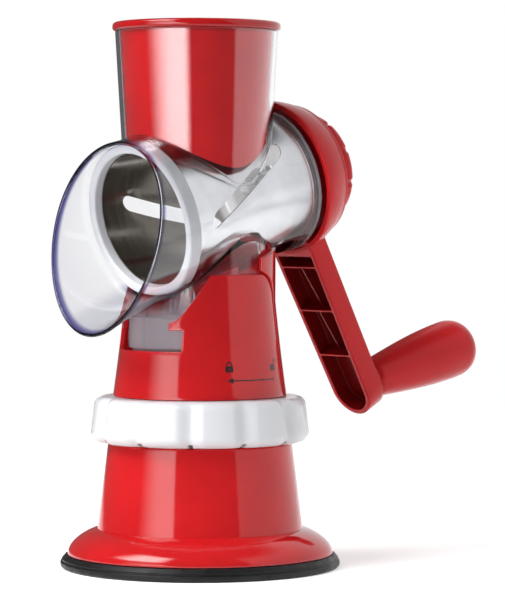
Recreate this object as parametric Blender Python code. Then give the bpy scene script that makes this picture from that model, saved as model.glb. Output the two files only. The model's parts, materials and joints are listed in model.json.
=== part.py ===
"""Hand cranked drum vegetable cutter on a suction stand, as separate pieces at their real size.

Metres, +Z up.  The bench is z = 0, the stand's axis is the z axis, food leaves towards -Y and
the crank is at +Y.  The drum's axis leans up towards the crank by TILT.
"""
import math

import bmesh
import bpy
from mathutils import Vector

# Facets round a turned piece
FINE = 40
MEDIUM = 32
SMALL = 20
TINY = 8

# Clearances
GAP = 0.0003             # between pieces that touch
BORE_GAP = 0.0003        # all round a pin, screw or shaft in its hole
RUN_GAP = 0.0004         # all round the drum's raised blades and its front ring

# Suction pad and lower stand
PAD_RADIUS = 0.068
PAD_RIM = 0.0064
PAD_RIM_WIDTH = 0.0115
PAD_WEB = 0.004
PAD_BEVEL = 0.0026       # the rubber's upper edge slopes in by this much
FLANGE_INSET = 0.0034    # the red flange is this much smaller than the rubber
FLANGE_EDGE = 0.0005
DOME_RISE = 0.0122       # from the flange's underside to the foot of the cone
FOOT_RADIUS = 0.0500
SHOULDER_RADIUS = 0.0447
BASE_HEIGHT = 0.0607
STAND_WALL = 0.0020
WEB_THICK = 0.003        # inner floor of the lower stand
WEB_DROP = 0.0127        # that floor's top below the shoulder
GUIDE_RADIUS = 0.008
GUIDE_LENGTH = 0.026

# Neck, lock ring and the lifting parts inside
NECK_RADIUS = 0.040
NECK_WALL = 0.0027
NECK_LAP = 0.0077        # how far the neck stands up into the upper stand
NECK_LEDGE = 0.0097      # height of the thick screw ledge at the neck's top
NECK_LEDGE_WIDTH = 0.007
RING_HEIGHT = 0.022
RING_RADIUS = 0.0531
RING_TAPER = 0.0016      # less radius at the ring's upper edge
RING_ROUND = 0.0046
RING_LOBES = 12
RING_NOTCH = 0.0022
RING_LAND = 0.0035       # height of the ring's top land, which runs on the neck
RING_RECESS = 0.0056     # depth of its inner channel
CAM_LOW = 0.0065         # ledge under the pins at rest, above the ring's underside
CAM_RISE = 0.003
CAM_TURN = math.radians(45)
PIN_COUNT = 3
PIN_RADIUS = 0.0022
PIN_REACH = 0.0038       # how far a pin stands into the ring's channel
PIN_SEAT = 0.006         # how far it sits in the yoke
YOKE_RADIUS = 0.031
YOKE_HEIGHT = 0.0064
STEM_RADIUS = 0.004
STEM_PLATE_RADIUS = 0.018
STEM_PLATE = 0.002
WASHER_THICK = 0.001
WASHER_RADIUS = 0.008
NUT_FLATS = 0.013
NUT_HEIGHT = 0.005
STEM_PROUD = 0.0022      # stem end above the nut
SPRING_RADIUS = 0.0105
SPRING_WIRE = 0.0008
SPRING_TURNS = 5

# Upper stand and rear post
UPPER_HEIGHT = 0.0591
STAND_TOP_RADIUS = 0.0354
STAND_SAG = 0.0004       # the sides are drawn in by this much half way up
FLOOR_THICK = 0.0024
FLOOR_HOLE = 0.006
SEAM_BACK = 0.0237       # seam's distance behind the axis at the upper stand's foot
SEAM_LEAN = 0.068
SEAM_GAP = 0.0006
CORNER_RISE = 0.0127     # height and depth of the rounded rear corner of the front shell
CORNER_DEPTH = 0.0100
POST_RADIUS = 0.0367
POST_RISE = 0.0080       # post's top above the front shell at the front edge of the post
POST_FRONT = 0.0092
SADDLE_HALF = 0.0316     # half width of the front opening at the top edge
SADDLE_DROP = 0.0231
SLOT_HALF = 0.0172
WINDOW_HALF = 0.0235
WINDOW_HEIGHT = 0.0101
WINDOW_SILL = 0.0228     # window's lower edge above the upper stand's foot
SCREW_SHANK = 0.0014
SCREW_HEAD = 0.0031
SCREW_HEAD_HEIGHT = 0.002
SCREW_LENGTH = 0.011
SCREW_ANGLES = (52.0, 308.0, 150.0, 210.0)   # degrees round from the front

# Drum
TILT = math.radians(13.5)
AXIS_RISE = 0.0346       # drum axis above the front shell's top edge
DRUM_RADIUS = 0.0332
DRUM_SHEET = 0.0006
DRUM_FRONT = -0.0342
DRUM_BACK = 0.0448
SLOT_COUNT = 4
SLOT_ANGLE = math.radians(8.4)
SLOT_TWIST = 835.0 * math.pi / 180.0   # turn of a slot along the axis, per metre
SLOT_PHASE = math.radians(5.0)
SLOT_START = -0.018
SLOT_END = 0.032
BLADE_LIFT = 0.0004
BLADE_DIP = 0.0012
BLADE_SPREAD = math.radians(11.0)
RING_FRONT_DEPTH = 0.0068
RING_FRONT_SOCKET = 0.0018
RING_FRONT_WALL = 0.0040
RING_FRONT_LIP = 0.0005
PLATE_THICK = 0.0009
PLATE_INSET = 0.0030
HUB_RADIUS = 0.0072
HUB_LENGTH = 0.0085
HUB_FLANGE = 0.0125
HUB_FLANGE_THICK = 0.0014
RIVET_COUNT = 4
RIVET_RADIUS = 0.0012
RIVET_HEAD = 0.0021
RIVET_HEAD_HEIGHT = 0.0008
RIVET_CIRCLE = 0.0101

# Clear housing
CHAMBER_WALL = 0.0016
CHAMBER_BEAD = 0.0003
BACK_WALL = 0.0023
BACK_CLEAR = 0.0008
BELL_START = 0.010       # ahead of this the chamber widens for the front ring
SCOOP_START = -0.040
MOUTH_TOP_S = -0.0420
MOUTH_BOTTOM_S = -0.0807
MOUTH_BOTTOM = 0.0463
MOUTH_HALF = 0.0410
MOUTH_EGG = 0.066
FLARE_POWER = 1.7
HOPPER_CENTRE = -0.002
HOPPER_LOW_RADIUS = 0.0347   # outer radius where the hopper's wall would meet the drum axis
HOPPER_SPREAD = 0.058
HOPPER_HEIGHT = 0.0825       # top edge above the drum axis
HOPPER_WALL = 0.0018
SKIRT_GAP = 0.0004
SKIRT_WALL = 0.0020
SKIRT_DEPTH = 0.0190     # skirt's lower edge above the upper stand's foot
TAB_PROUD = 0.0018
TAB_HALF = 0.0232
TAB_TOP = 0.016          # tab's upper edge above the window's sill

# Pusher
PUSHER_GAP = 0.0005
PUSHER_WALL = 0.0021
PUSHER_LIFT = 0.0034     # saddle of the pusher above the blades
PUSHER_RIM = 0.0041
PUSHER_RIM_OVER = 0.0013

# Drive and crank
SHAFT_FLATS = 0.008
SHAFT_JOURNAL = 0.005
SHAFT_TIP = 0.006        # shaft's end ahead of the drum's hub
BUSH_WALL = 0.003
BUSH_FLANGE = 0.0025
BUSH_FLANGE_THICK = 0.0004
SPACER_THICK = 0.0015
SPACER_RADIUS = 0.011
DISC_OVER = 0.0031       # crank disc beyond the chamber's rear rim
DISC_DEPTH = 0.0179
DISC_TAPER = 0.0052
DISC_EDGE = 0.0014
DISC_WALL = 0.0026
BOSS_RADIUS = 0.009
WEB_BEHIND_SHAFT = 0.003
HUB_SCREW_SHANK = 0.0019
HUB_SCREW_HEAD = 0.005
HUB_SCREW_HEAD_HEIGHT = 0.0028
HUB_SCREW_LENGTH = 0.012
CAP_RADIUS = 0.0273
CAP_DEPTH = 0.0110
CAP_WALL = 0.0024
CAP_ROUND = 0.0040
CAP_NOTCHES = 10
CAP_NOTCH = 0.0011
ARM_LEAN = math.atan(0.269)
ARM_START = 0.040        # from the axis to where the arm leaves the disc
ARM_SET = 0.0028         # arm's front face behind the disc's front edge there
ARM_ROOT = 0.008
ARM_REACH = 0.0797       # from there to the centre of the round end
ARM_HALF_ROOT = 0.0150
ARM_HALF_END = 0.0130
ARM_DEPTH = 0.0114
ARM_WALL = 0.0026
ARM_POCKET = 0.0088
ARM_RIB = 0.0010
ARM_RIBS = (0.0070, 0.0320, 0.0580)
GRIP_BOSS_RADIUS = 0.0094
GRIP_BOSS_STAND = 0.0036     # boss beyond the arm's back face on the grip's axis
GRIP_ROOT_RADIUS = 0.0097
GRIP_RADIUS = 0.0150
GRIP_LENGTH = 0.0698
GRIP_DOME = 0.0130
GRIP_PIN_RADIUS = 0.003
GRIP_PIN_HEAD = 0.0043
GRIP_PIN_HEAD_LENGTH = 0.0045
GRIP_PIN_END = 0.013         # solid plastic left beyond the pin

# Heights and places worked out from the sizes above
FLANGE_LOW = PAD_RIM + GAP
FLANGE_RADIUS = PAD_RADIUS - FLANGE_INSET
RING_LOW = BASE_HEIGHT + GAP
UPPER_LOW = RING_LOW + RING_HEIGHT + GAP
NECK_TOP = UPPER_LOW + NECK_LAP
FLOOR_LOW = NECK_TOP + GAP
FLOOR_TOP = FLOOR_LOW + FLOOR_THICK
STAND_TOP = UPPER_LOW + UPPER_HEIGHT
WAIST_RADIUS = NECK_RADIUS + GAP + STAND_WALL
AXIS_HEIGHT = STAND_TOP + AXIS_RISE
NECK_BORE = NECK_RADIUS - NECK_WALL
LEDGE_BORE = NECK_RADIUS - NECK_LEDGE_WIDTH
PIN_HEIGHT = RING_LOW + CAM_LOW + GAP + PIN_RADIUS
YOKE_LOW = PIN_HEIGHT - YOKE_HEIGHT / 2
YOKE_TOP = YOKE_LOW + YOKE_HEIGHT
WASHER_LOW = YOKE_TOP + GAP
NUT_LOW = WASHER_LOW + WASHER_THICK + GAP
STEM_TOP = NUT_LOW + NUT_HEIGHT + STEM_PROUD
CHAMBER_BORE = DRUM_RADIUS + BLADE_LIFT + RUN_GAP
CHAMBER_RADIUS = CHAMBER_BORE + CHAMBER_WALL
RING_FRONT_BORE = DRUM_RADIUS + GAP
RING_FRONT_RADIUS = RING_FRONT_BORE + RING_FRONT_WALL
BELL_BORE = RING_FRONT_RADIUS + RUN_GAP + 0.0002
BELL_RADIUS = BELL_BORE + CHAMBER_WALL
RING_BACK_S = DRUM_FRONT + RING_FRONT_SOCKET
RING_FRONT_S = RING_BACK_S - RING_FRONT_DEPTH
WALL_FRONT_S = DRUM_BACK + BACK_CLEAR
WALL_BACK_S = WALL_FRONT_S + BACK_WALL
PLATE_BACK_S = DRUM_BACK - PLATE_INSET
PLATE_FRONT_S = PLATE_BACK_S - PLATE_THICK
HUB_BACK_S = PLATE_BACK_S + GAP + HUB_FLANGE_THICK
HUB_FRONT_S = HUB_BACK_S - HUB_LENGTH
BUSH_BORE = SHAFT_JOURNAL + BORE_GAP
BUSH_RADIUS = BUSH_BORE + BUSH_WALL
SPACER_FRONT_S = WALL_BACK_S + GAP
DISC_FRONT_S = SPACER_FRONT_S + SPACER_THICK + GAP
DISC_BACK_S = DISC_FRONT_S + DISC_DEPTH
SHAFT_BACK_S = DISC_BACK_S - WEB_BEHIND_SHAFT
CAP_FRONT_S = DISC_BACK_S + GAP
CAP_BACK_S = CAP_FRONT_S + CAP_DEPTH
RIM_RADIUS = CHAMBER_RADIUS + CHAMBER_BEAD
DISC_RADIUS = RIM_RADIUS + DISC_OVER
ARM_FRONT_S = DISC_FRONT_S + ARM_SET
MOUTH_TOP = BELL_BORE + CHAMBER_WALL
GRIP_DOWN = ARM_START + ARM_REACH * math.cos(ARM_LEAN) - ARM_DEPTH * math.sin(ARM_LEAN)
ARM_BACK_S = ARM_FRONT_S + ARM_REACH * math.sin(ARM_LEAN) + ARM_DEPTH * math.cos(ARM_LEAN)
GRIP_FRONT_S = ARM_BACK_S + GRIP_BOSS_STAND + GAP
GRIP_BACK_S = GRIP_FRONT_S + GRIP_LENGTH
HOPPER_TOP = AXIS_HEIGHT + HOPPER_HEIGHT

RED = (0.66, 0.02, 0.025)
WHITE = (0.86, 0.87, 0.90)
CLEAR = (0.80, 0.83, 0.90)
STEEL = (0.70, 0.71, 0.72)
BLACK = (0.015, 0.015, 0.017)
BRASS = (0.72, 0.55, 0.25)
ACETAL = (0.90, 0.90, 0.88)


def clear_scene():
    """Remove every object, so the script gives the same scene each time."""
    for thing in list(bpy.data.objects):
        bpy.data.objects.remove(thing)


def material(name, colour, roughness=0.35, metallic=0.0, transmission=0.0):
    """Make one Principled material."""
    made = bpy.data.materials.new(name)
    made.use_nodes = True
    shader = made.node_tree.nodes["Principled BSDF"]
    shader.inputs["Base Color"].default_value = (*colour, 1.0)
    shader.inputs["Roughness"].default_value = roughness
    shader.inputs["Metallic"].default_value = metallic
    shader.inputs["Transmission Weight"].default_value = transmission
    return made


def finished(name, bm, parent=None, look=None):
    """Turn a bmesh into a linked object, faces out and round stretches shaded smooth."""
    bmesh.ops.recalc_face_normals(bm, faces=bm.faces)
    mesh = bpy.data.meshes.new(name)
    bm.to_mesh(mesh)
    bm.free()
    mesh.shade_smooth()
    mesh.set_sharp_from_angle(angle=math.radians(35))
    thing = bpy.data.objects.new(name, mesh)
    bpy.context.collection.objects.link(thing)
    thing.parent = parent
    if look is None:
        thing.hide_render = True
        thing.display_type = "WIRE"
    else:
        mesh.materials.append(look)
    return thing


def turned_into(bm, profile, steps):
    """Spin an (r, z) outline round the z axis into bm; an end on the axis closes there."""
    corners = [bm.verts.new((r, 0.0, z)) for r, z in profile]
    pairs = list(zip(corners, corners[1:]))
    if profile[0][0] > 0.0 or profile[-1][0] > 0.0:
        pairs.append((corners[-1], corners[0]))
    edges = [bm.edges.new(pair) for pair in pairs]
    bmesh.ops.spin(bm, geom=corners + edges, cent=(0, 0, 0), axis=(0, 0, 1),
                   angle=2 * math.pi, steps=steps, use_merge=True)
    bmesh.ops.remove_doubles(bm, verts=bm.verts, dist=1e-6)


def turned(name, profile, steps=FINE, parent=None, look=None):
    """A solid of revolution about its own z axis."""
    bm = bmesh.new()
    turned_into(bm, profile, steps)
    return finished(name, bm, parent, look)


def lofted(name, rings, closed, parent=None, look=None):
    """Skin equal rings of points; closed joins the last ring to the first, else both are capped."""
    bm = bmesh.new()
    rows = [[bm.verts.new(point) for point in ring] for ring in rings]
    count = len(rows[0])
    pairs = list(zip(rows, rows[1:]))
    if closed:
        pairs.append((rows[-1], rows[0]))
    for low, high in pairs:
        for i in range(count):
            j = (i + 1) % count
            bm.faces.new((low[i], low[j], high[j], high[i]))
    if not closed:
        bm.faces.new(rows[0])
        bm.faces.new(rows[-1])
    return finished(name, bm, parent, look)


def prism_into(bm, outline, low, high, place):
    """Extrude a flat outline; place(a, b, c) turns outline a, b and height c into a point."""
    bottom = [bm.verts.new(place(a, b, low)) for a, b in outline]
    top = [bm.verts.new(place(a, b, high)) for a, b in outline]
    bm.faces.new(bottom)
    bm.faces.new(top)
    for i in range(len(outline)):
        j = (i + 1) % len(outline)
        bm.faces.new((bottom[i], bottom[j], top[j], top[i]))


def along_z(a, b, c):
    """Outline in x, y; height along z."""
    return (a, b, c)


def along_y(a, b, c):
    """Outline in x, z; height along y."""
    return (a, c, b)


def along_x(a, b, c):
    """Outline in y, z; height along x."""
    return (c, a, b)


def prism(name, outline, low, high, place=along_z, parent=None, look=None):
    """One extruded outline as an object."""
    bm = bmesh.new()
    prism_into(bm, outline, low, high, place)
    return finished(name, bm, parent, look)


def polygon(sides, radius, cx=0.0, cy=0.0, phase=0.0):
    """Corners of a regular polygon."""
    return [(cx + radius * math.cos(phase + 2 * math.pi * i / sides),
             cy + radius * math.sin(phase + 2 * math.pi * i / sides)) for i in range(sides)]


def arc(cx, cy, rx, ry, start, end, steps):
    """Points on an elliptic arc, both ends included; angles in degrees."""
    angles = [math.radians(start + (end - start) * i / steps) for i in range(steps + 1)]
    return [(cx + rx * math.cos(a), cy + ry * math.sin(a)) for a in angles]


def boolean(thing, other, operation):
    """Add a boolean modifier that uses a hidden helper."""
    modifier = thing.modifiers.new(operation.title(), "BOOLEAN")
    modifier.operation = operation
    modifier.object = other


def cut(thing, *helpers):
    """Cut each helper out of a piece."""
    for helper in helpers:
        boolean(thing, helper, "DIFFERENCE")


def join(thing, *helpers):
    """Fuse each helper into a piece."""
    for helper in helpers:
        boolean(thing, helper, "UNION")


def empty(name, location, rotation=(0.0, 0.0, 0.0), parent=None):
    """A frame that pieces are parented to."""
    made = bpy.data.objects.new(name, None)
    bpy.context.collection.objects.link(made)
    made.location = location
    made.rotation_euler = rotation
    made.parent = parent
    return made


def hex_radius(flats):
    """Corner radius of a hexagon from its width across flats."""
    return flats / 2 / math.cos(math.pi / 6)


def stand_radius(z):
    """Outer radius of the upper stand: a cone drawn in a little half way up."""
    share = (z - UPPER_LOW) / UPPER_HEIGHT
    straight = WAIST_RADIUS + (STAND_TOP_RADIUS - WAIST_RADIUS) * share
    return straight - STAND_SAG * 4 * share * (1 - share)


def chamber_bore(s):
    """Bore of the chamber: straight behind BELL_START, then a smooth bell up to the front ring."""
    bell_end = RING_BACK_S + 0.001
    share = min(1.0, max(0.0, (BELL_START - s) / (BELL_START - bell_end)))
    return CHAMBER_BORE + (BELL_BORE - CHAMBER_BORE) * share ** 1.35


def scoop_ring(v, inset, count):
    """Section v of the scoop, from the chamber's circle at v = 0 to the leaning egg mouth at v = 1."""
    start = BELL_RADIUS - inset
    centre_u = (MOUTH_TOP - MOUTH_BOTTOM) / 2
    centre_s = (MOUTH_TOP_S + MOUTH_BOTTOM_S) / 2
    half_u = (MOUTH_TOP + MOUTH_BOTTOM) / 2 - inset
    half_s = (MOUTH_TOP_S - MOUTH_BOTTOM_S) / 2
    points = []
    for i in range(count):
        t = 2 * math.pi * i / count
        mouth_x = (MOUTH_HALF - inset) * (1 + MOUTH_EGG * math.cos(t)) * math.sin(t)
        mouth_u = centre_u + half_u * math.cos(t)
        mouth_s = centre_s + half_s * math.cos(t)
        swell = v ** FLARE_POWER
        x = start * math.sin(t) + (mouth_x - start * math.sin(t)) * swell
        u = start * math.cos(t) + (mouth_u - start * math.cos(t)) * swell
        s = SCOOP_START + (mouth_s - SCOOP_START) * v
        points.append((x, -u, s))
    return points


def circle_ring(radius, s, count):
    """A circle about the drum's axis, in step with scoop_ring."""
    angles = [2 * math.pi * i / count for i in range(count)]
    return [(radius * math.sin(t), -radius * math.cos(t), s) for t in angles]


def build_base(looks):
    """Rubber pad, lower stand with its neck, and the screws that hold the upper stand."""
    turned("suction_pad", [
        (0.0, 0.0), (PAD_RADIUS - PAD_RIM * 0.1, 0.0), (PAD_RADIUS, PAD_RIM * 0.15),
        (PAD_RADIUS, PAD_RIM * 0.5), (PAD_RADIUS - PAD_BEVEL, PAD_RIM),
        (PAD_RADIUS - PAD_RIM_WIDTH, PAD_RIM),
        (PAD_RADIUS - PAD_RIM_WIDTH - (PAD_RIM - PAD_WEB) / 2, PAD_WEB), (0.0, PAD_WEB),
    ], FINE, None, looks["rubber"])

    cone_low = FLANGE_LOW + DOME_RISE
    web_top = BASE_HEIGHT - WEB_DROP
    web_low = web_top - WEB_THICK
    dome_run = FLANGE_RADIUS - FOOT_RADIUS
    dome_foot = FLANGE_LOW + FLANGE_EDGE

    def cone(z):
        share = (z - cone_low) / (BASE_HEIGHT - cone_low)
        return FOOT_RADIUS + (SHOULDER_RADIUS - FOOT_RADIUS) * share

    def dome(inset, angles):
        points = []
        for angle in angles:
            a = math.radians(angle)
            r = FOOT_RADIUS + (dome_run - inset) * math.cos(a) ** 1.5
            points.append((r, dome_foot + (cone_low - dome_foot - inset) * math.sin(a) ** 1.15))
        return points

    edge = STAND_WALL * 0.6
    guide_mid = (web_top + web_low) / 2
    outside = [(FLANGE_RADIUS, FLANGE_LOW), (FLANGE_RADIUS, dome_foot)] + dome(0.0, (20, 42, 66))
    outside += [(FOOT_RADIUS, cone_low), (cone(BASE_HEIGHT - edge), BASE_HEIGHT - edge),
                (SHOULDER_RADIUS - edge, BASE_HEIGHT), (NECK_RADIUS, BASE_HEIGHT)]
    neck = [(NECK_RADIUS, NECK_TOP), (LEDGE_BORE, NECK_TOP), (LEDGE_BORE, NECK_TOP - NECK_LEDGE),
            (NECK_BORE, NECK_TOP - NECK_LEDGE), (NECK_BORE, BASE_HEIGHT - STAND_WALL)]
    inside = [(cone(BASE_HEIGHT) - STAND_WALL, BASE_HEIGHT - STAND_WALL),
              (cone(web_top) - STAND_WALL, web_top),
              (GUIDE_RADIUS, web_top), (GUIDE_RADIUS, guide_mid + GUIDE_LENGTH / 3),
              (STEM_RADIUS + BORE_GAP, guide_mid + GUIDE_LENGTH / 3),
              (STEM_RADIUS + BORE_GAP, guide_mid - GUIDE_LENGTH * 2 / 3),
              (GUIDE_RADIUS, guide_mid - GUIDE_LENGTH * 2 / 3), (GUIDE_RADIUS, web_low),
              (cone(web_low) - STAND_WALL, web_low), (cone(cone_low) - STAND_WALL, cone_low)]
    inside += dome(STAND_WALL, (60, 30))
    inside += [(FLANGE_RADIUS - STAND_WALL, FLANGE_LOW)]
    stand = turned("lower_stand", outside + neck + inside, FINE, None, looks["red"])

    slots = bmesh.new()
    for i in range(PIN_COUNT):
        turn = 2 * math.pi * i / PIN_COUNT
        half = PIN_RADIUS + BORE_GAP
        low = PIN_HEIGHT - half
        high = PIN_HEIGHT + CAM_RISE + half

        def place(a, b, c, turn=turn):
            return (c * math.cos(turn) - a * math.sin(turn), c * math.sin(turn) + a * math.cos(turn), b)

        prism_into(slots, [(-half, low), (half, low), (half, high), (-half, high)],
                   NECK_BORE - NECK_WALL, NECK_RADIUS + NECK_WALL, place)
    cut(stand, finished("pin_slots", slots))

    holes = bmesh.new()
    head_low = FLOOR_TOP + GAP
    circle = stand_radius(head_low + SCREW_HEAD_HEIGHT) - STAND_WALL - SCREW_HEAD
    for i, angle in enumerate(SCREW_ANGLES):
        x = circle * math.sin(math.radians(angle))
        y = -circle * math.cos(math.radians(angle))
        prism_into(holes, polygon(TINY, SCREW_SHANK + BORE_GAP, x, y), NECK_TOP - NECK_LEDGE - GAP,
                   FLOOR_TOP + GAP, along_z)
        seat = empty(f"screw_seat_{i + 1}", (x, y, head_low))
        turned(f"stand_screw_{i + 1}", [
            (0.0, -SCREW_LENGTH), (SCREW_SHANK, -SCREW_LENGTH), (SCREW_SHANK, 0.0), (SCREW_HEAD, 0.0),
            (SCREW_HEAD * 0.8, SCREW_HEAD_HEIGHT), (0.0, SCREW_HEAD_HEIGHT)], TINY, seat, looks["steel"])
    hole_set = finished("screw_holes", holes)
    cut(stand, hole_set)
    return hole_set


def build_lock(looks):
    """Lock ring with its inner cam ledge, and the yoke, pins, stem, nut and spring it lifts."""
    pivot = empty("lock_axis", (0.0, 0.0, RING_LOW))
    count = RING_LOBES * 5
    bore = NECK_RADIUS + GAP + 0.0001
    channel = NECK_RADIUS + RING_RECESS
    top = RING_HEIGHT
    columns = []
    for i in range(count):
        t = 2 * math.pi * i / count
        lobe = t * RING_LOBES / (2 * math.pi) % 1.0
        valley = max(0.0, 1.0 - abs(lobe - 0.5) / 0.26)
        notch = RING_NOTCH * (valley * valley * (3 - 2 * valley))
        share = t * PIN_COUNT / (2 * math.pi) % 1.0 * (2 * math.pi / PIN_COUNT)
        fall_start = CAM_TURN + math.radians(16)
        fall_end = 2 * math.pi / PIN_COUNT - math.radians(16)
        if share <= CAM_TURN:
            climb = share / CAM_TURN
        elif share <= fall_start:
            climb = 1.0
        elif share < fall_end:
            climb = 1.0 - (share - fall_start) / (fall_end - fall_start)
        else:
            climb = 0.0
        ledge = CAM_LOW + CAM_RISE * climb
        outer = RING_RADIUS - notch
        soft = RING_ROUND
        high = outer - RING_TAPER - soft
        outline = [(bore, 0.0), (outer - soft, 0.0), (outer - soft * 0.3, soft * 0.3), (outer, soft),
                   (high + soft, top - soft), (high + soft * 0.7, top - soft * 0.3), (high, top),
                   (bore, top), (bore, top - RING_LAND), (channel, top - RING_LAND - 0.0005),
                   (channel, ledge), (bore, ledge)]
        columns.append([(r * math.cos(t), r * math.sin(t), z) for r, z in outline])
    lofted("lock_ring", columns, True, pivot, looks["white"])

    yoke = turned("lift_yoke", [
        (STEM_RADIUS + BORE_GAP, YOKE_LOW), (YOKE_RADIUS, YOKE_LOW), (YOKE_RADIUS, YOKE_TOP),
        (STEM_RADIUS + BORE_GAP, YOKE_TOP)], SMALL, None, looks["acetal"])
    seats = bmesh.new()
    for i in range(PIN_COUNT):
        turn = 2 * math.pi * i / PIN_COUNT

        def place(a, b, c, turn=turn):
            return (c * math.cos(turn) - a * math.sin(turn), c * math.sin(turn) + a * math.cos(turn),
                    PIN_HEIGHT + b)

        start = YOKE_RADIUS - PIN_SEAT
        pin = bmesh.new()
        prism_into(pin, polygon(TINY, PIN_RADIUS), start, NECK_RADIUS + PIN_REACH, place)
        finished(f"cam_pin_{i + 1}", pin, None, looks["steel"])
        prism_into(seats, polygon(TINY, PIN_RADIUS + BORE_GAP), start - GAP, YOKE_RADIUS + GAP, place)
    cut(yoke, finished("pin_seats", seats))

    plate_low = PAD_WEB + GAP
    turned("suction_stem", [
        (0.0, plate_low), (STEM_PLATE_RADIUS, plate_low), (STEM_PLATE_RADIUS, plate_low + STEM_PLATE),
        (STEM_RADIUS * 1.6, plate_low + STEM_PLATE * 2), (STEM_RADIUS, plate_low + STEM_PLATE * 2.5),
        (STEM_RADIUS, STEM_TOP - STEM_RADIUS * 0.2), (STEM_RADIUS * 0.8, STEM_TOP), (0.0, STEM_TOP)],
        SMALL, None, looks["steel"])
    turned("stem_washer", [
        (STEM_RADIUS + BORE_GAP, WASHER_LOW), (WASHER_RADIUS, WASHER_LOW),
        (WASHER_RADIUS, WASHER_LOW + WASHER_THICK), (STEM_RADIUS + BORE_GAP, WASHER_LOW + WASHER_THICK)],
        SMALL, None, looks["steel"])
    nut = prism("stem_nut", polygon(6, hex_radius(NUT_FLATS)), NUT_LOW, NUT_LOW + NUT_HEIGHT,
                along_z, None, looks["brass"])
    cut(nut, prism("nut_bore", polygon(SMALL, STEM_RADIUS + BORE_GAP), NUT_LOW - GAP,
                   NUT_LOW + NUT_HEIGHT + GAP))

    low = YOKE_TOP + GAP + SPRING_WIRE
    high = FLOOR_LOW - GAP - SPRING_WIRE
    steps = SPRING_TURNS * 8
    rings = []
    for i in range(steps + 1):
        turn = 2 * math.pi * SPRING_TURNS * i / steps
        middle = Vector((SPRING_RADIUS * math.cos(turn), SPRING_RADIUS * math.sin(turn),
                         low + (high - low) * i / steps))
        out = Vector((math.cos(turn), math.sin(turn), 0.0))
        up = Vector((0.0, 0.0, 1.0))
        rings.append([middle + SPRING_WIRE * (out * math.cos(a) + up * math.sin(a))
                      for a in (2 * math.pi * k / 4 for k in range(4))])
    lofted("return_spring", rings, False, None, looks["steel"])


def build_upper_stand(looks, hole_set, chamber_guard):
    """Front shell with its saddle and window, and the rear post behind the seam."""
    levels = [UPPER_LOW + UPPER_HEIGHT * i / 4 for i in range(5)]
    outer = [(stand_radius(z), z) for z in levels]
    inner = [(stand_radius(z) - STAND_WALL, z) for z in levels if z > FLOOR_TOP + 0.002]
    foot = [(FLOOR_HOLE, FLOOR_TOP), (FLOOR_HOLE, FLOOR_LOW), (NECK_RADIUS + GAP, FLOOR_LOW),
            (NECK_RADIUS + GAP, UPPER_LOW)]
    shell = turned("upper_stand", outer + list(reversed(inner))
                   + [(stand_radius(FLOOR_TOP) - STAND_WALL, FLOOR_TOP)] + foot, FINE, None, looks["red"])

    seam_high = STAND_TOP - CORNER_RISE
    seam_top = SEAM_BACK - SEAM_LEAN * (seam_high - UPPER_LOW)
    clear_high = STAND_TOP + 0.03
    reach = PAD_RADIUS
    corner = arc(seam_top - CORNER_DEPTH, seam_high, CORNER_DEPTH, CORNER_RISE, 90, 0, 7)
    rear = [(seam_top - CORNER_DEPTH, clear_high)] + corner
    rear += [(SEAM_BACK, UPPER_LOW), (SEAM_BACK + SEAM_LEAN * 0.005, UPPER_LOW - 0.005),
             (reach, UPPER_LOW - 0.005), (reach, clear_high)]
    cut(shell, prism("rear_part", rear, -reach, reach, along_x))

    sill = UPPER_LOW + WINDOW_SILL
    lintel = sill + WINDOW_HEIGHT
    saddle_low = STAND_TOP - SADDLE_DROP
    side = []
    for i in range(9):
        share = i / 8
        a = math.radians(90 * share)
        x = SLOT_HALF + (SADDLE_HALF - SLOT_HALF) * math.sin(a) ** 0.8
        side.append((x, saddle_low + SADDLE_DROP * (1 - math.cos(a)) ** 1.05))
    right = [(WINDOW_HALF, sill), (WINDOW_HALF, lintel), (SLOT_HALF, lintel)] + side
    right += [(SADDLE_HALF + 0.0004, clear_high)]
    outline = right + [(-x, z) for x, z in reversed(right)]
    cut(shell, prism("front_opening", outline, -reach, -NECK_BORE * 0.25, along_y), hole_set)

    post_top = STAND_TOP + POST_RISE
    post_levels = [UPPER_LOW + (post_top + 0.012 - UPPER_LOW) * i / 6 for i in range(7)]

    def post_radius(z):
        return max(stand_radius(min(z, STAND_TOP)), POST_RADIUS)

    outer = [(post_radius(z), z) for z in post_levels]
    inner = [(post_radius(z) - STAND_WALL, z) for z in post_levels if z > FLOOR_TOP + 0.002]
    post = turned("rear_post", outer + list(reversed(inner))
                  + [(post_radius(FLOOR_TOP) - STAND_WALL, FLOOR_TOP)] + foot, FINE, None, looks["red"])
    gap = SEAM_GAP
    corner = arc(seam_top - CORNER_DEPTH, seam_high, CORNER_DEPTH + gap, CORNER_RISE + gap, 80, 0, 7)
    front = [(POST_FRONT, clear_high), (POST_FRONT, STAND_TOP + gap * 3)] + corner
    front += [(SEAM_BACK + gap, UPPER_LOW), (SEAM_BACK + gap, UPPER_LOW - 0.005),
              (-reach, UPPER_LOW - 0.005), (-reach, clear_high)]
    above = [(-reach, post_top - (reach + POST_FRONT) * math.tan(TILT)),
             (reach, post_top + (reach - POST_FRONT) * math.tan(TILT)),
             (reach, post_top + 0.06), (-reach, post_top + 0.06)]
    cut(post, prism("front_part", front, -reach, reach, along_x),
        prism("above_post", above, -reach, reach, along_x), chamber_guard, hole_set)


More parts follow.
